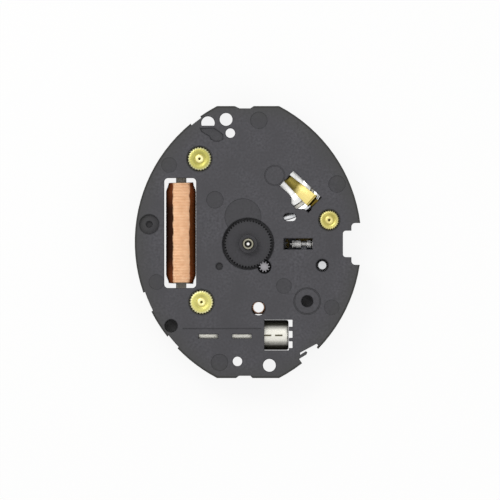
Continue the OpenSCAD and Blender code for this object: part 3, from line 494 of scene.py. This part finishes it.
# Bead blasting leaves a frosted skin that scatters the light much as white paint does
STEM_STEEL = plated_metal("frosted_stem_steel", "#fbfaf8", "#ecebe8", 0.55, 0.12, metallic=0.45)
PAD_COPPER = rolled_metal("etched_copper_pad", "#e6b492", "#c78a66", 0.42, 0.7)
SCREW_STEEL = plated_metal("polished_screw_steel", "#dcdde0", "#c2c4c8", 0.18, 0.25)
CORE_IRON = rolled_metal("annealed_nickel_iron", "#8c8880", "#6f6b64", 0.45)
MAGNET = sintered()
COPPER = enamelled_copper()
LAMINATE = copper_laminate()
CAN_NICKEL = drawn_can()
LEAD_TIN = plated_metal("tinned_wire", "#dcdbd6", "#c4c3bd", 0.35, 0.15)
CELL_STEEL = turned_metal("nickel_plated_can_steel", "#dfe0e2", "#c6c8cb", 0.3, CELL, ring=0.3)
CAP_STEEL = turned_metal("nickel_plated_cap_steel", "#f2f2f0", "#dcdcd9", 0.34, CELL, ring=0.3)
FILM = insulating_film()
BACK_STEEL = rolled_metal("stamped_stainless_sheet", "#d4d5d8", "#b5b7bb", 0.3, 0.9)

FINISH = {
    "main_plate": PLATE_RESIN, "hour_wheel": HOUR_RESIN, "setting_wheel": WHEEL_RESIN,
    "post_upper": POST_BRASS["upper"], "post_lower": POST_BRASS["lower"],
    "post_side": POST_BRASS["side"], "coil_core": CORE_IRON, "coil_winding": COPPER,
    "coil_leads": COPPER, "stator": CORE_IRON, "rotor_magnet": MAGNET,
    "rotor_pinion": PINION_RESIN, "fifth_wheel": WHEEL_GILT["fifth"],
    "fifth_pinion": PINION_STEEL, "seconds_wheel": WHEEL_GILT["seconds"],
    "seconds_arbor": ARBOR_STEEL, "third_wheel": WHEEL_GILT["third"],
    "third_pinion": PINION_STEEL, "centre_wheel": WHEEL_GILT["seconds"],
    "cannon_pinion": CANNON_NICKEL, "minute_wheel": WHEEL_RESIN,
    "minute_pinion": MINUTE_STEEL, "winding_stem": STEM_STEEL, "clutch_wheel": STEM_STEEL,
    "setting_lever": LEVER_STEEL, "yoke": YOKE_STEEL, "reset_lever": YOKE_STEEL,
    "setting_jumper": YOKE_STEEL, "centre_bridge": BRIDGE_STEEL,
    "train_bridge": BRIDGE_BRASS, "bridge_screws": SCREW_STEEL, "circuit_board": LAMINATE,
    "ic_chip": CHIP_RESIN, "crystal_can": CAN_NICKEL, "crystal_leads": LEAD_TIN,
    "negative_contact": CONTACT_GILT, "battery_can": CELL_STEEL,
    "battery_gasket": SEAL_NYLON, "battery_cap": CAP_STEEL, "insulator": FILM,
    "back_plate": BACK_STEEL,
}


RECORD = frame["record"]
BODY_OF = {
    node: body for body, nodes in RECORD["behaviour"]["bodies"].items() for node in nodes
}


def new_piece(name, mesh):
    """A new object round a mesh, in the scene."""
    piece = bpy.data.objects.new(name, mesh)
    bpy.context.scene.collection.objects.link(piece)
    return piece


def hand_over(piece, node, material, stands_for=()):
    """The piece takes the material, rides with a CAD node's body, and stands for the nodes named.
    """
    piece.data.materials.clear()
    piece.data.materials.append(material)
    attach(piece, BODY_OF[node])
    if stands_for:
        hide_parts(*stands_for)
    return piece


def bevelled(piece, width):
    """Breaks the piece's edges, each by its own weight, and leaves its faces smooth between."""
    modifier = piece.modifiers.new("broken_edges", "BEVEL")
    modifier.width = width * MM
    modifier.segments = 2
    modifier.limit_method = "WEIGHT"
    modifier.use_clamp_overlap = False
    modifier.loop_slide = False
    modifier.harden_normals = True
    apply_modifiers(piece)
    return piece


def refilled(piece, corners=30):
    """Fills the flat levels of the piece anew between their own edges, round their openings.

    Only levels that have a face with at least that many corners need it.
    """
    bm = bmesh.new()
    bm.from_mesh(piece.data)
    levels = {}
    for face in bm.faces:
        if abs(face.normal.z) > 0.9999:
            key = (round(face.verts[0].co.z / MM, 3), face.normal.z > 0)
            levels.setdefault(key, []).append(face)
    for (_, up), flat in levels.items():
        if max(len(face.verts) for face in flat) < corners:
            continue
        # Sets only answer what is in them; the lists' order makes each run come out the same
        members = set(flat)
        edges = list(dict.fromkeys(edge for face in flat for edge in face.edges))
        border = [edge for edge in edges if sum(f in members for f in edge.link_faces) == 1]
        rim_edges = set(border)
        inner = [edge for edge in edges if edge not in rim_edges]
        bmesh.ops.delete(bm, geom=flat, context="FACES_ONLY")
        bmesh.ops.delete(bm, geom=inner, context="EDGES")
        filled = bmesh.ops.triangle_fill(
            bm, use_beauty=True, use_dissolve=False, edges=border, normal=(0, 0, 1 if up else -1)
        )
        for face in filled["geom"]:
            if isinstance(face, bmesh.types.BMFace):
                face.normal_update()
                if (face.normal.z > 0) != up:
                    face.normal_flip()
                face.smooth = False
    bm.to_mesh(piece.data)
    bm.free()
    return piece


def apply_modifiers(piece):
    """Keeps what the modifiers make as the piece's plain mesh."""
    graph = bpy.context.evaluated_depsgraph_get()
    mesh = bpy.data.meshes.new_from_object(piece.evaluated_get(graph))
    piece.modifiers.clear()
    piece.data = mesh


def softened_copy(node, width, low=0.25, wall=0.1, deep=-9, inside=(0, 0)):
    """A copy of a CAD node with its edges broken, less so at shallow steps and deep down.

    An edge is at a shallow step when a face beside it reaches no further than wall. Edges
    between the two heights in inside are out of sight and stay sharp. All in millimetres.
    """
    bm = bmesh.new()
    bm.from_mesh(frame["nodes"][node].data)
    bmesh.ops.remove_doubles(bm, verts=bm.verts, dist=2e-6)
    bmesh.ops.dissolve_limit(
        bm, angle_limit=math.radians(0.5), verts=bm.verts, edges=bm.edges, delimit={"NORMAL"}
    )
    weight = bm.edges.layers.float.new("bevel_weight_edge")
    for edge in bm.edges:
        if len(edge.link_faces) != 2 or edge.calc_face_angle(0) < math.radians(30):
            continue
        heights = []
        for face in edge.link_faces:
            along = (edge.verts[1].co - edge.verts[0].co).normalized()
            across = face.normal.cross(along)
            reach = [(v.co - edge.verts[0].co).dot(across) for v in face.verts]
            heights.append(max(reach) - min(reach))
        bottom, top = sorted(v.co.z / MM for v in edge.verts)
        if inside[0] < bottom and top < inside[1]:
            continue
        edge[weight] = low if min(heights) <= wall * MM or bottom < deep else 1.0
    for face in bm.faces:
        face.smooth = True
    mesh = bpy.data.meshes.new(node + "_form")
    bm.to_mesh(mesh)
    bm.free()
    piece = bevelled(new_piece(node + "_form", mesh), width)
    # A face with many corners is a flat level, which smooth shading would stain
    for polygon in piece.data.polygons:
        polygon.use_smooth = len(polygon.vertices) < 12
    return piece


for node, material in FINISH.items():
    data = frame["nodes"][node].data
    data.materials.clear()
    data.materials.append(material)

# How widely each piece's edges are broken, in millimetres
EDGES = {
    "main_plate": 0.055, "hour_wheel": 0.015, "setting_wheel": 0.015, "minute_wheel": 0.015,
    "minute_pinion": 0.01, "fifth_wheel": 0.008, "seconds_wheel": 0.008, "third_wheel": 0.008,
    "centre_wheel": 0.008, "cannon_pinion": 0.015, "coil_core": 0.02, "stator": 0.02,
    "clutch_wheel": 0.02, "winding_stem": 0.03, "setting_lever": 0.03, "yoke": 0.02,
    "reset_lever": 0.015, "setting_jumper": 0.02, "centre_bridge": 0.02, "train_bridge": 0.03,
    "bridge_screws": 0.03, "circuit_board": 0.01, "ic_chip": 0.06, "negative_contact": 0.01,
    "battery_gasket": 0.03, "back_plate": 0.02, "seconds_arbor": 0.01, "fifth_pinion": 0.01,
    "third_pinion": 0.01, "rotor_pinion": 0.01, "rotor_magnet": 0.03, "insulator": 0.01,
}

# The plate's edges below this height border narrow ledges, and are broken less
LEDGE = -0.25
# Between these heights its inner walls are out of sight
HIDDEN_WALLS = (-2.9, -1.0)
for node, width in EDGES.items():
    if node == "main_plate":
        form = refilled(softened_copy(node, width, deep=LEDGE, inside=HIDDEN_WALLS))
    elif node == "train_bridge":
        form = refilled(softened_copy(node, width))
    else:
        form = softened_copy(node, width)
    hand_over(form, node, FINISH[node], (node,))


def wound_coil(start, width, height, length, turns, wire):
    """Outer layer of the winding: one wire in close turns along Y, by Geometry Nodes."""
    tree = bpy.data.node_groups.new("close_winding", "GeometryNodeTree")
    for name, value in (
        ("Width", width * MM), ("Height", height * MM), ("Length", length * MM),
        ("Wire", wire * MM), ("Turns", turns),
    ):
        socket = tree.interface.new_socket(name, in_out="INPUT", socket_type="NodeSocketFloat")
        socket.default_value = value
    tree.interface.new_socket("Geometry", in_out="OUTPUT", socket_type="NodeSocketGeometry")
    given = add(tree, "NodeGroupInput").outputs
    spiral = add(
        tree,
        "GeometryNodeCurveSpiral",
        {"Resolution": 40, "Rotations": given["Turns"], "Start Radius": 1.0, "End Radius": 1.0,
         "Height": given["Length"]},
    )
    position = add(tree, "GeometryNodeInputPosition").outputs[0]
    spot = add(tree, "ShaderNodeSeparateXYZ", {0: position}).outputs

    def rounded(value, size):
        """Turns a circle's coordinate into that of a box with well rounded corners."""
        plain = add(tree, "ShaderNodeMath", {0: value}, operation="ABSOLUTE").outputs[0]
        # 1 would leave the circle, 0 would give sharp corners
        pushed = add(tree, "ShaderNodeMath", {0: plain, 1: 0.62}, operation="POWER").outputs[0]
        sign = add(tree, "ShaderNodeMath", {0: value}, operation="SIGN").outputs[0]
        unit = add(tree, "ShaderNodeMath", {0: pushed, 1: sign}, operation="MULTIPLY").outputs[0]
        inner = add(tree, "ShaderNodeMath", {0: size, 1: given["Wire"]}, operation="SUBTRACT")
        half = add(tree, "ShaderNodeMath", {0: inner.outputs[0], 1: 0.5}, operation="MULTIPLY")
        return add(
            tree, "ShaderNodeMath", {0: unit, 1: half.outputs[0]}, operation="MULTIPLY"
        ).outputs[0]

    # Hand-guided wire never lies dead straight: the layer's surface wanders a little
    wander = add(
        tree, "ShaderNodeTexNoise", {"W": 3.0, "Scale": per_mm(0.5)}, noise_dimensions="4D"
    )
    swell = add(
        tree, "ShaderNodeMapRange", {"Value": wander.outputs[0], "To Min": 0.98, "To Max": 1.0}
    )
    # The last turns at both ends slip inwards, as nothing holds them there
    rest = add(tree, "ShaderNodeMath", {0: given["Length"], 1: spot[2]}, operation="SUBTRACT")
    end = add(tree, "ShaderNodeMath", {0: rest.outputs[0], 1: spot[2]}, operation="MINIMUM")
    slip = add(
        tree,
        "ShaderNodeMapRange",
        {"Value": end.outputs[0], "From Max": 0.6 * MM, "To Min": 0.82, "To Max": 1.0},
        interpolation_type="SMOOTHSTEP",
    )
    across = rounded(spot[0], given["Width"])
    for share in (swell, slip):
        across = add(
            tree, "ShaderNodeMath", {0: across, 1: share.outputs[0]}, operation="MULTIPLY"
        ).outputs[0]
    up = rounded(spot[1], given["Height"])
    laid = add(tree, "ShaderNodeCombineXYZ", {0: across, 1: spot[2], 2: up})
    placed = add(
        tree,
        "GeometryNodeSetPosition",
        {"Geometry": spiral.outputs[0], "Position": laid.outputs[0],
         "Offset": tuple(c * MM for c in start)},
    )
    radius = add(tree, "ShaderNodeMath", {0: given["Wire"], 1: 0.5}, operation="MULTIPLY")
    section = add(
        tree, "GeometryNodeCurvePrimitiveCircle", {"Resolution": 6, "Radius": radius.outputs[0]}
    )
    wire_mesh = add(
        tree,
        "GeometryNodeCurveToMesh",
        {"Curve": placed.outputs[0], "Profile Curve": section.outputs[0], "Fill Caps": True},
    )
    whole = add(tree, "GeometryNodeRealizeInstances", {0: wire_mesh.outputs[0]})
    painted = add(
        tree, "GeometryNodeSetMaterial", {"Geometry": whole.outputs[0], "Material": COPPER}
    )
    add(tree, "NodeGroupOutput", {0: painted.outputs[0]})
    return tree


def from_nodes(name, tree, base=None):
    """Runs a Geometry Nodes tree once, on a base mesh if one is given; keeps the plain mesh."""
    piece = base or new_piece(name, bpy.data.meshes.new(name))
    modifier = piece.modifiers.new("made", "NODES")
    modifier.node_group = tree
    for socket in tree.interface.items_tree:
        given = socket.item_type == "SOCKET" and socket.in_out == "INPUT"
        if given and socket.socket_type != "NodeSocketGeometry":
            modifier[socket.identifier] = socket.default_value
    apply_modifiers(piece)
    for polygon in piece.data.polygons:
        polygon.use_smooth = True
    return piece


# The turns are drawn thicker than their pitch: they bed into the layer below
winding = from_nodes(
    "coil_wire",
    wound_coil(
        start=(COIL_X - 0.015, COIL_Y0 - 0.02, COIL_Z),
        width=2.01,
        height=1.85,
        length=6.56,
        turns=66,
        wire=0.14,
    ),
)
hand_over(winding, "coil_winding", COPPER, ("coil_winding",))


def turned(name, outline, centre, steps=96, lying=False):
    """Turns a closed outline of (radius, height) round an upright axis, or one lying along X."""
    bm = bmesh.new()
    rings = []
    for radius, height in outline:
        ring = []
        for i in range(steps if radius > 0 else 1):
            angle = 2 * math.pi * i / steps
            a, b = centre[0] + radius * math.cos(angle), centre[1] + radius * math.sin(angle)
            ring.append(bm.verts.new(Vector((height, a, b) if lying else (a, b, height)) * MM))
        rings.append(ring)
    for low, high in zip(rings, rings[1:] + rings[:1]):
        for i in range(steps if len(low) + len(high) > 2 else 0):
            j = (i + 1) % steps
            corners = (
                low[i % len(low)], low[j % len(low)], high[j % len(high)], high[i % len(high)]
            )
            bm.faces.new(list(dict.fromkeys(corners)))
    bmesh.ops.recalc_face_normals(bm, faces=bm.faces)
    for face in bm.faces:
        face.smooth = True
    mesh = bpy.data.meshes.new(name)
    bm.to_mesh(mesh)
    bm.free()
    return new_piece(name, mesh)


def knurl_tree(centre, radius, count, depth, material):
    """Draws a turned rim in between count crests, by Geometry Nodes."""
    tree = bpy.data.node_groups.new("straight_knurl", "GeometryNodeTree")
    tree.interface.new_socket("Geometry", in_out="INPUT", socket_type="NodeSocketGeometry")
    for name, value in (
        ("Centre X", centre[0] * MM), ("Centre Y", centre[1] * MM), ("Radius", radius * MM),
        ("Depth", depth * MM), ("Crests", count),
    ):
        socket = tree.interface.new_socket(name, in_out="INPUT", socket_type="NodeSocketFloat")
        socket.default_value = value
    tree.interface.new_socket("Geometry", in_out="OUTPUT", socket_type="NodeSocketGeometry")
    given = add(tree, "NodeGroupInput").outputs
    position = add(tree, "GeometryNodeInputPosition").outputs[0]
    spot = add(tree, "ShaderNodeSeparateXYZ", {0: position}).outputs

    # Each row works out one value, from numbers, sockets or the names of rows above it
    made = {"here x": spot[0], "here y": spot[1]}
    made.update((name, given[name]) for name in ("Centre X", "Centre Y", "Radius", "Depth"))
    for name, operation, first, second in (
        ("x", "SUBTRACT", "here x", "Centre X"),
        ("y", "SUBTRACT", "here y", "Centre Y"),
        ("angle", "ARCTAN2", "y", "x"),
        ("half crests", "MULTIPLY", given["Crests"], 0.5),
        ("half turns", "MULTIPLY", "angle", "half crests"),
        ("wave", "COSINE", "half turns", 0.0),
        ("crest", "ABSOLUTE", "wave", 0.0),
        ("dip", "SUBTRACT", "crest", 1.0),
        ("x squared", "MULTIPLY", "x", "x"),
        ("y squared", "MULTIPLY", "y", "y"),
        ("squares", "ADD", "x squared", "y squared"),
        ("away", "SQRT", "squares", 0.0),
        ("face", "MULTIPLY", "Radius", 0.82),
        ("rim", "MULTIPLY", "Radius", 0.95),
    ):
        made[name] = add(
            tree,
            "ShaderNodeMath",
            {0: made.get(first, first), 1: made.get(second, second)},
            operation=operation,
        ).outputs[0]
    reach = add(
        tree,
        "ShaderNodeMapRange",
        {"Value": made["away"], "From Min": made["face"], "From Max": made["rim"]},
    )
    deep = add(
        tree, "ShaderNodeMath", {0: reach.outputs[0], 1: made["Depth"]}, operation="MULTIPLY"
    )
    pull = add(
        tree, "ShaderNodeMath", {0: made["dip"], 1: deep.outputs[0]}, operation="MULTIPLY"
    )
    outward = add(tree, "ShaderNodeCombineXYZ", {0: made["x"], 1: made["y"]})
    unit = add(tree, "ShaderNodeVectorMath", {0: outward.outputs[0]}, operation="NORMALIZE")
    shift = add(
        tree, "ShaderNodeVectorMath", {0: unit.outputs[0], "Scale": pull.outputs[0]},
        operation="SCALE",
    )
    moved = add(
        tree,
        "GeometryNodeSetPosition",
        {"Geometry": given["Geometry"], "Offset": shift.outputs[0]},
    )
    whole = add(tree, "GeometryNodeRealizeInstances", {0: moved.outputs[0]})
    painted = add(
        tree, "GeometryNodeSetMaterial", {"Geometry": whole.outputs[0], "Material": material}
    )
    add(tree, "NodeGroupOutput", {0: painted.outputs[0]})
    return tree


def crisp(piece, angle=50.0):
    """Smooth faces that stay crisp across edges sharper than the angle."""
    piece.data.set_sharp_from_angle(angle=math.radians(angle))
    return piece


CRESTS, KNURL_DEPTH = 26, 0.06
for name, centre, radius, bottom in (
    ("upper", UPPER_POST, 0.8, CORE_TOP), ("lower", LOWER_POST, 0.8, CORE_TOP),
    ("side", SIDE_POST, 0.66, -0.9),
):
    node = "post_" + name
    # From the centre mark out over the hub, groove, face and broken rim, and back by the bore
    profile = (
        (0, -0.16), (0.05, -0.15), (0.07, -0.05), (0.1, -0.025), (0.22, -0.02), (0.26, -0.05),
        (0.36, -0.06), (0.4, -0.03), (radius * 0.8, -0.025), (radius * 0.86, -0.04),
        (radius * 0.95, -0.06), (radius, -0.12), (radius, bottom + 0.04), (radius - 0.04, bottom),
        (0.24, bottom), (0.24, -0.3), (0, -0.32),
    )
    # Eight steps to a crest are enough to draw it round
    base = turned(node + "_knurled", profile, centre, steps=CRESTS * 8)
    tree = knurl_tree(centre, radius, CRESTS, KNURL_DEPTH, POST_BRASS[name])
    post = crisp(from_nodes(node + "_knurled", tree, base))
    hand_over(post, node, POST_BRASS[name], (node,))

# The can's open end is crimped over a glass bead; its closed end is drawn to a round
can = turned(
    "crystal_can_drawn",
    ((0, CAN_X0), (0.5, CAN_X0), (0.52, CAN_X0 + 0.06), (0.86, CAN_X0 + 0.06), (0.92, CAN_X0),
     (0.97, CAN_X0 + 0.02), (1.0, CAN_X0 + 0.08), (1.0, CAN_X0 + 0.32), (0.985, CAN_X0 + 0.36),
     (0.985, CAN_X1 - 0.24), (0.985, CAN_X1 - 0.16), (0.975, CAN_X1 - 0.09),
     (0.945, CAN_X1 - 0.04), (0.9, CAN_X1 - 0.01), (0.84, CAN_X1), (0, CAN_X1)),
    (CAN_Y, CAN_Z),
    lying=True,
)
hand_over(crisp(can), "crystal_can", CAN_NICKEL, ("crystal_can",))

# The cell's turned-over lip, the floor inside it, its mouth and its cap
LIP_TOP, WELL, MOUTH_R, CAP_R = CELL_TOP - 0.12, CELL_TOP - 0.42, CELL_R - 0.45, 2.75
# Deep drawn can, turned in over the seal at its mouth, with a ring pressed in its bottom
cell_can = turned(
    "battery_can_drawn",
    ((0, SHEET_BOTTOM + 0.02), (2.3, SHEET_BOTTOM + 0.02), (2.36, SHEET_BOTTOM),
     (CELL_R - 0.22, SHEET_BOTTOM), (CELL_R - 0.08, SHEET_BOTTOM + 0.03),
     (CELL_R - 0.02, SHEET_BOTTOM + 0.1), (CELL_R, SHEET_BOTTOM + 0.24), (CELL_R, CELL_TOP - 0.18),
     (CELL_R - 0.01, CELL_TOP - 0.145), (CELL_R - 0.03, CELL_TOP - 0.125),
     (CELL_R - 0.06, LIP_TOP), (CELL_R - 0.12, LIP_TOP), (CELL_R - 0.43, LIP_TOP),
     (MOUTH_R, CELL_TOP - 0.14), (MOUTH_R, WELL), (0, WELL)),
    CELL,
)
hand_over(crisp(cell_can), "battery_can", CELL_STEEL, ("battery_can",))
cap = turned(
    "battery_cap_drawn",
    ((0, CELL_TOP - 0.3), (CAP_R, CELL_TOP - 0.3), (CAP_R, CELL_TOP - 0.13),
     (2.71, CELL_TOP - 0.05), (2.64, CELL_TOP - 0.01), (2.56, CELL_TOP), (2.1, CELL_TOP),
     (2.06, CELL_TOP - 0.02), (1.98, CELL_TOP - 0.02), (1.94, CELL_TOP), (0, CELL_TOP)),
    CELL,
)
hand_over(crisp(cap), "battery_cap", CAP_STEEL, ("battery_cap",))


def smooth_path(points, detail=8):
    """Points along a smooth curve through those given."""
    points = [Vector(p) for p in points]
    line = [2 * points[0] - points[1]] + points + [2 * points[-1] - points[-2]]
    path = []
    for a, b, c, d in zip(line, line[1:], line[2:], line[3:]):
        for k in range(detail):
            t = k / detail
            path.append(
                0.5 * (2 * b + (c - a) * t + (2 * a - 5 * b + 4 * c - d) * t**2
                       + (3 * b - a - 3 * c + d) * t**3)
            )
    return path + [points[-1]]


def wires(name, paths, radius, sides=12):
    """Round wires along smooth paths, as one piece."""
    bm = bmesh.new()
    for points in paths:
        path = smooth_path(points)
        side = Vector((0.3, 0.5, 0.8))
        rings = []
        for i, spot in enumerate(path):
            ahead = (path[min(i + 1, len(path) - 1)] - path[max(i - 1, 0)]).normalized()
            side = (side - ahead * side.dot(ahead)).normalized()
            up = ahead.cross(side)
            rings.append([
                bm.verts.new((spot + radius * (math.cos(a) * side + math.sin(a) * up)) * MM)
                for a in (2 * math.pi * k / sides for k in range(sides))
            ])
        for low, high in zip(rings, rings[1:]):
            for k in range(sides):
                bm.faces.new((low[k], low[k - 1], high[k - 1], high[k]))
        bm.faces.new(rings[0])
        bm.faces.new(rings[-1])
    bmesh.ops.recalc_face_normals(bm, faces=bm.faces)
    for face in bm.faces:
        face.smooth = True
    mesh = bpy.data.meshes.new(name)
    bm.to_mesh(mesh)
    bm.free()
    return crisp(new_piece(name, mesh))


# The row on the circuit board where the coil's wires are soldered
PAD_Y = -3.3
leads = wires(
    "coil_leads_bent",
    [((COIL_X + x, COIL_Y0, BOARD_TOP + 0.2), (COIL_X + x, COIL_Y0 - 0.2, BOARD_TOP + 0.17),
      (COIL_X + x, COIL_Y0 - 0.5, BOARD_TOP + 0.07), (COIL_X + x, PAD_Y, BOARD_TOP + 0.04))
     for x in (-0.25, 0.25)],
    radius=0.04,
)
hand_over(leads, "coil_leads", COPPER, ("coil_leads",))
legs = wires(
    "crystal_leads_bent",
    [((CAN_X0, CAN_Y + y, CAN_Z), (CAN_X0 - 0.25, CAN_Y + y, CAN_Z),
      (CAN_X0 - 0.42, CAN_Y + y, CAN_Z - 0.08), (CAN_X0 - 0.82, CAN_Y + y, BOARD_TOP + 0.15),
      (CAN_X0 - 0.98, CAN_Y + y, BOARD_TOP + 0.08))
     for y in (-0.3, 0.3)],
    radius=0.08,
)
hand_over(legs, "crystal_leads", LEAD_TIN, ("crystal_leads",))

# A copper land on the board, round the hole by which the circuit is tested
land = turned(
    "sight_land",
    ((0.345, BOARD_TOP - 0.02), (0.345, BOARD_TOP + 0.006), (0.355, BOARD_TOP + 0.01),
     (0.41, BOARD_TOP + 0.01), (0.42, BOARD_TOP + 0.006), (0.42, BOARD_TOP - 0.02)),
    SIGHT,
)
hand_over(crisp(land), "circuit_board", PAD_COPPER)


def set_the_stage():
    """Camera straight above the dial side, soft light from the upper left, pale floor."""
    scene = bpy.context.scene
    scene.view_settings.view_transform = "Standard"
    camera = bpy.data.cameras.new("camera")
    camera.type = "ORTHO"
    # The photo is 32.9 mm wide, and its middle lies a little right of and below the hands' axis
    camera.ortho_scale = 32.9 * MM
    camera.clip_start = 0.5 * MM
    camera.clip_end = 0.5
    eye = bpy.data.objects.new("camera", camera)
    eye.location = (0.125 * MM, -0.401 * MM, 60 * MM)
    scene.collection.objects.link(eye)
    scene.camera = eye

    world = bpy.data.worlds.new("studio")
    world.use_nodes = True
    tree = world.node_tree
    back = tree.nodes["Background"]
    back.inputs["Color"].default_value = (1, 1, 1, 1)
    # A big soft box overhead: brightest straight up, dim at the horizon, white to the camera
    where = add(tree, "ShaderNodeTexCoord").outputs["Generated"]
    glow = add(
        tree,
        "ShaderNodeMapRange",
        {"Value": add(tree, "ShaderNodeSeparateXYZ", {0: where}).outputs[2], "From Min": -0.2,
         "From Max": 1.0, "To Min": 0.2, "To Max": 1.0},
    ).outputs[0]
    seen = add(tree, "ShaderNodeLightPath").outputs["Is Camera Ray"]
    level = add(tree, "ShaderNodeMath", {0: glow, 1: seen}, operation="MAXIMUM")
    tree.links.new(level.outputs[0], back.inputs["Strength"])
    scene.world = world

    # Places and sizes in millimetres, power in watts
    for name, place, size, power in (
        ("key", (-30, 34, 70), 40, 0.017),
        ("fill", (40, -26, 60), 50, 0.004),
    ):
        lamp = bpy.data.lights.new(name, "AREA")
        lamp.shape = "DISK"
        lamp.size = size * MM
        lamp.energy = power
        holder = bpy.data.objects.new(name, lamp)
        holder.location = Vector(place) * MM
        holder.rotation_euler = (-Vector(place)).to_track_quat("-Z", "Y").to_euler()
        scene.collection.objects.link(holder)

    # The paper sags a hair below the back plate, so that the two never share a plane
    half, level = 150 * MM, (BACK - 0.02) * MM
    corners = [(x * half, y * half, level) for x, y in ((-1, -1), (1, -1), (1, 1), (-1, 1))]
    mesh = bpy.data.meshes.new("floor")
    mesh.from_pydata(corners, [], [(0, 1, 2, 3)])
    mesh.materials.append(glowing_paper())
    new_piece("floor", mesh)


def glowing_paper():
    """White paper that glows to the camera, by itself and in reflections, and lights nothing."""
    material = bpy.data.materials.new("white_paper")
    material.use_nodes = True
    tree = material.node_tree
    shader = tree.nodes["Principled BSDF"]
    shader.inputs["Base Color"].default_value = linear("#f4f4f2")
    shader.inputs["Roughness"].default_value = 0.9
    path = add(tree, "ShaderNodeLightPath").outputs
    seen = path["Is Camera Ray"]
    for ray in ("Is Glossy Ray", "Is Transmission Ray"):
        seen = add(
            tree, "ShaderNodeMath", {0: seen, 1: path[ray]}, operation="MAXIMUM"
        ).outputs[0]
    # The rest of what the camera sees is lit paper, so that the movement casts its soft shadow
    share = add(tree, "ShaderNodeMath", {0: seen, 1: 0.88}, operation="MULTIPLY")
    glow = add(tree, "ShaderNodeEmission", {"Strength": 1.0})
    mixed = add(
        tree,
        "ShaderNodeMixShader",
        {0: share.outputs[0], 1: shader.outputs[0], 2: glow.outputs[0]},
    )
    tree.links.new(mixed.outputs[0], tree.nodes["Material Output"].inputs["Surface"])
    return material


set_the_stage()
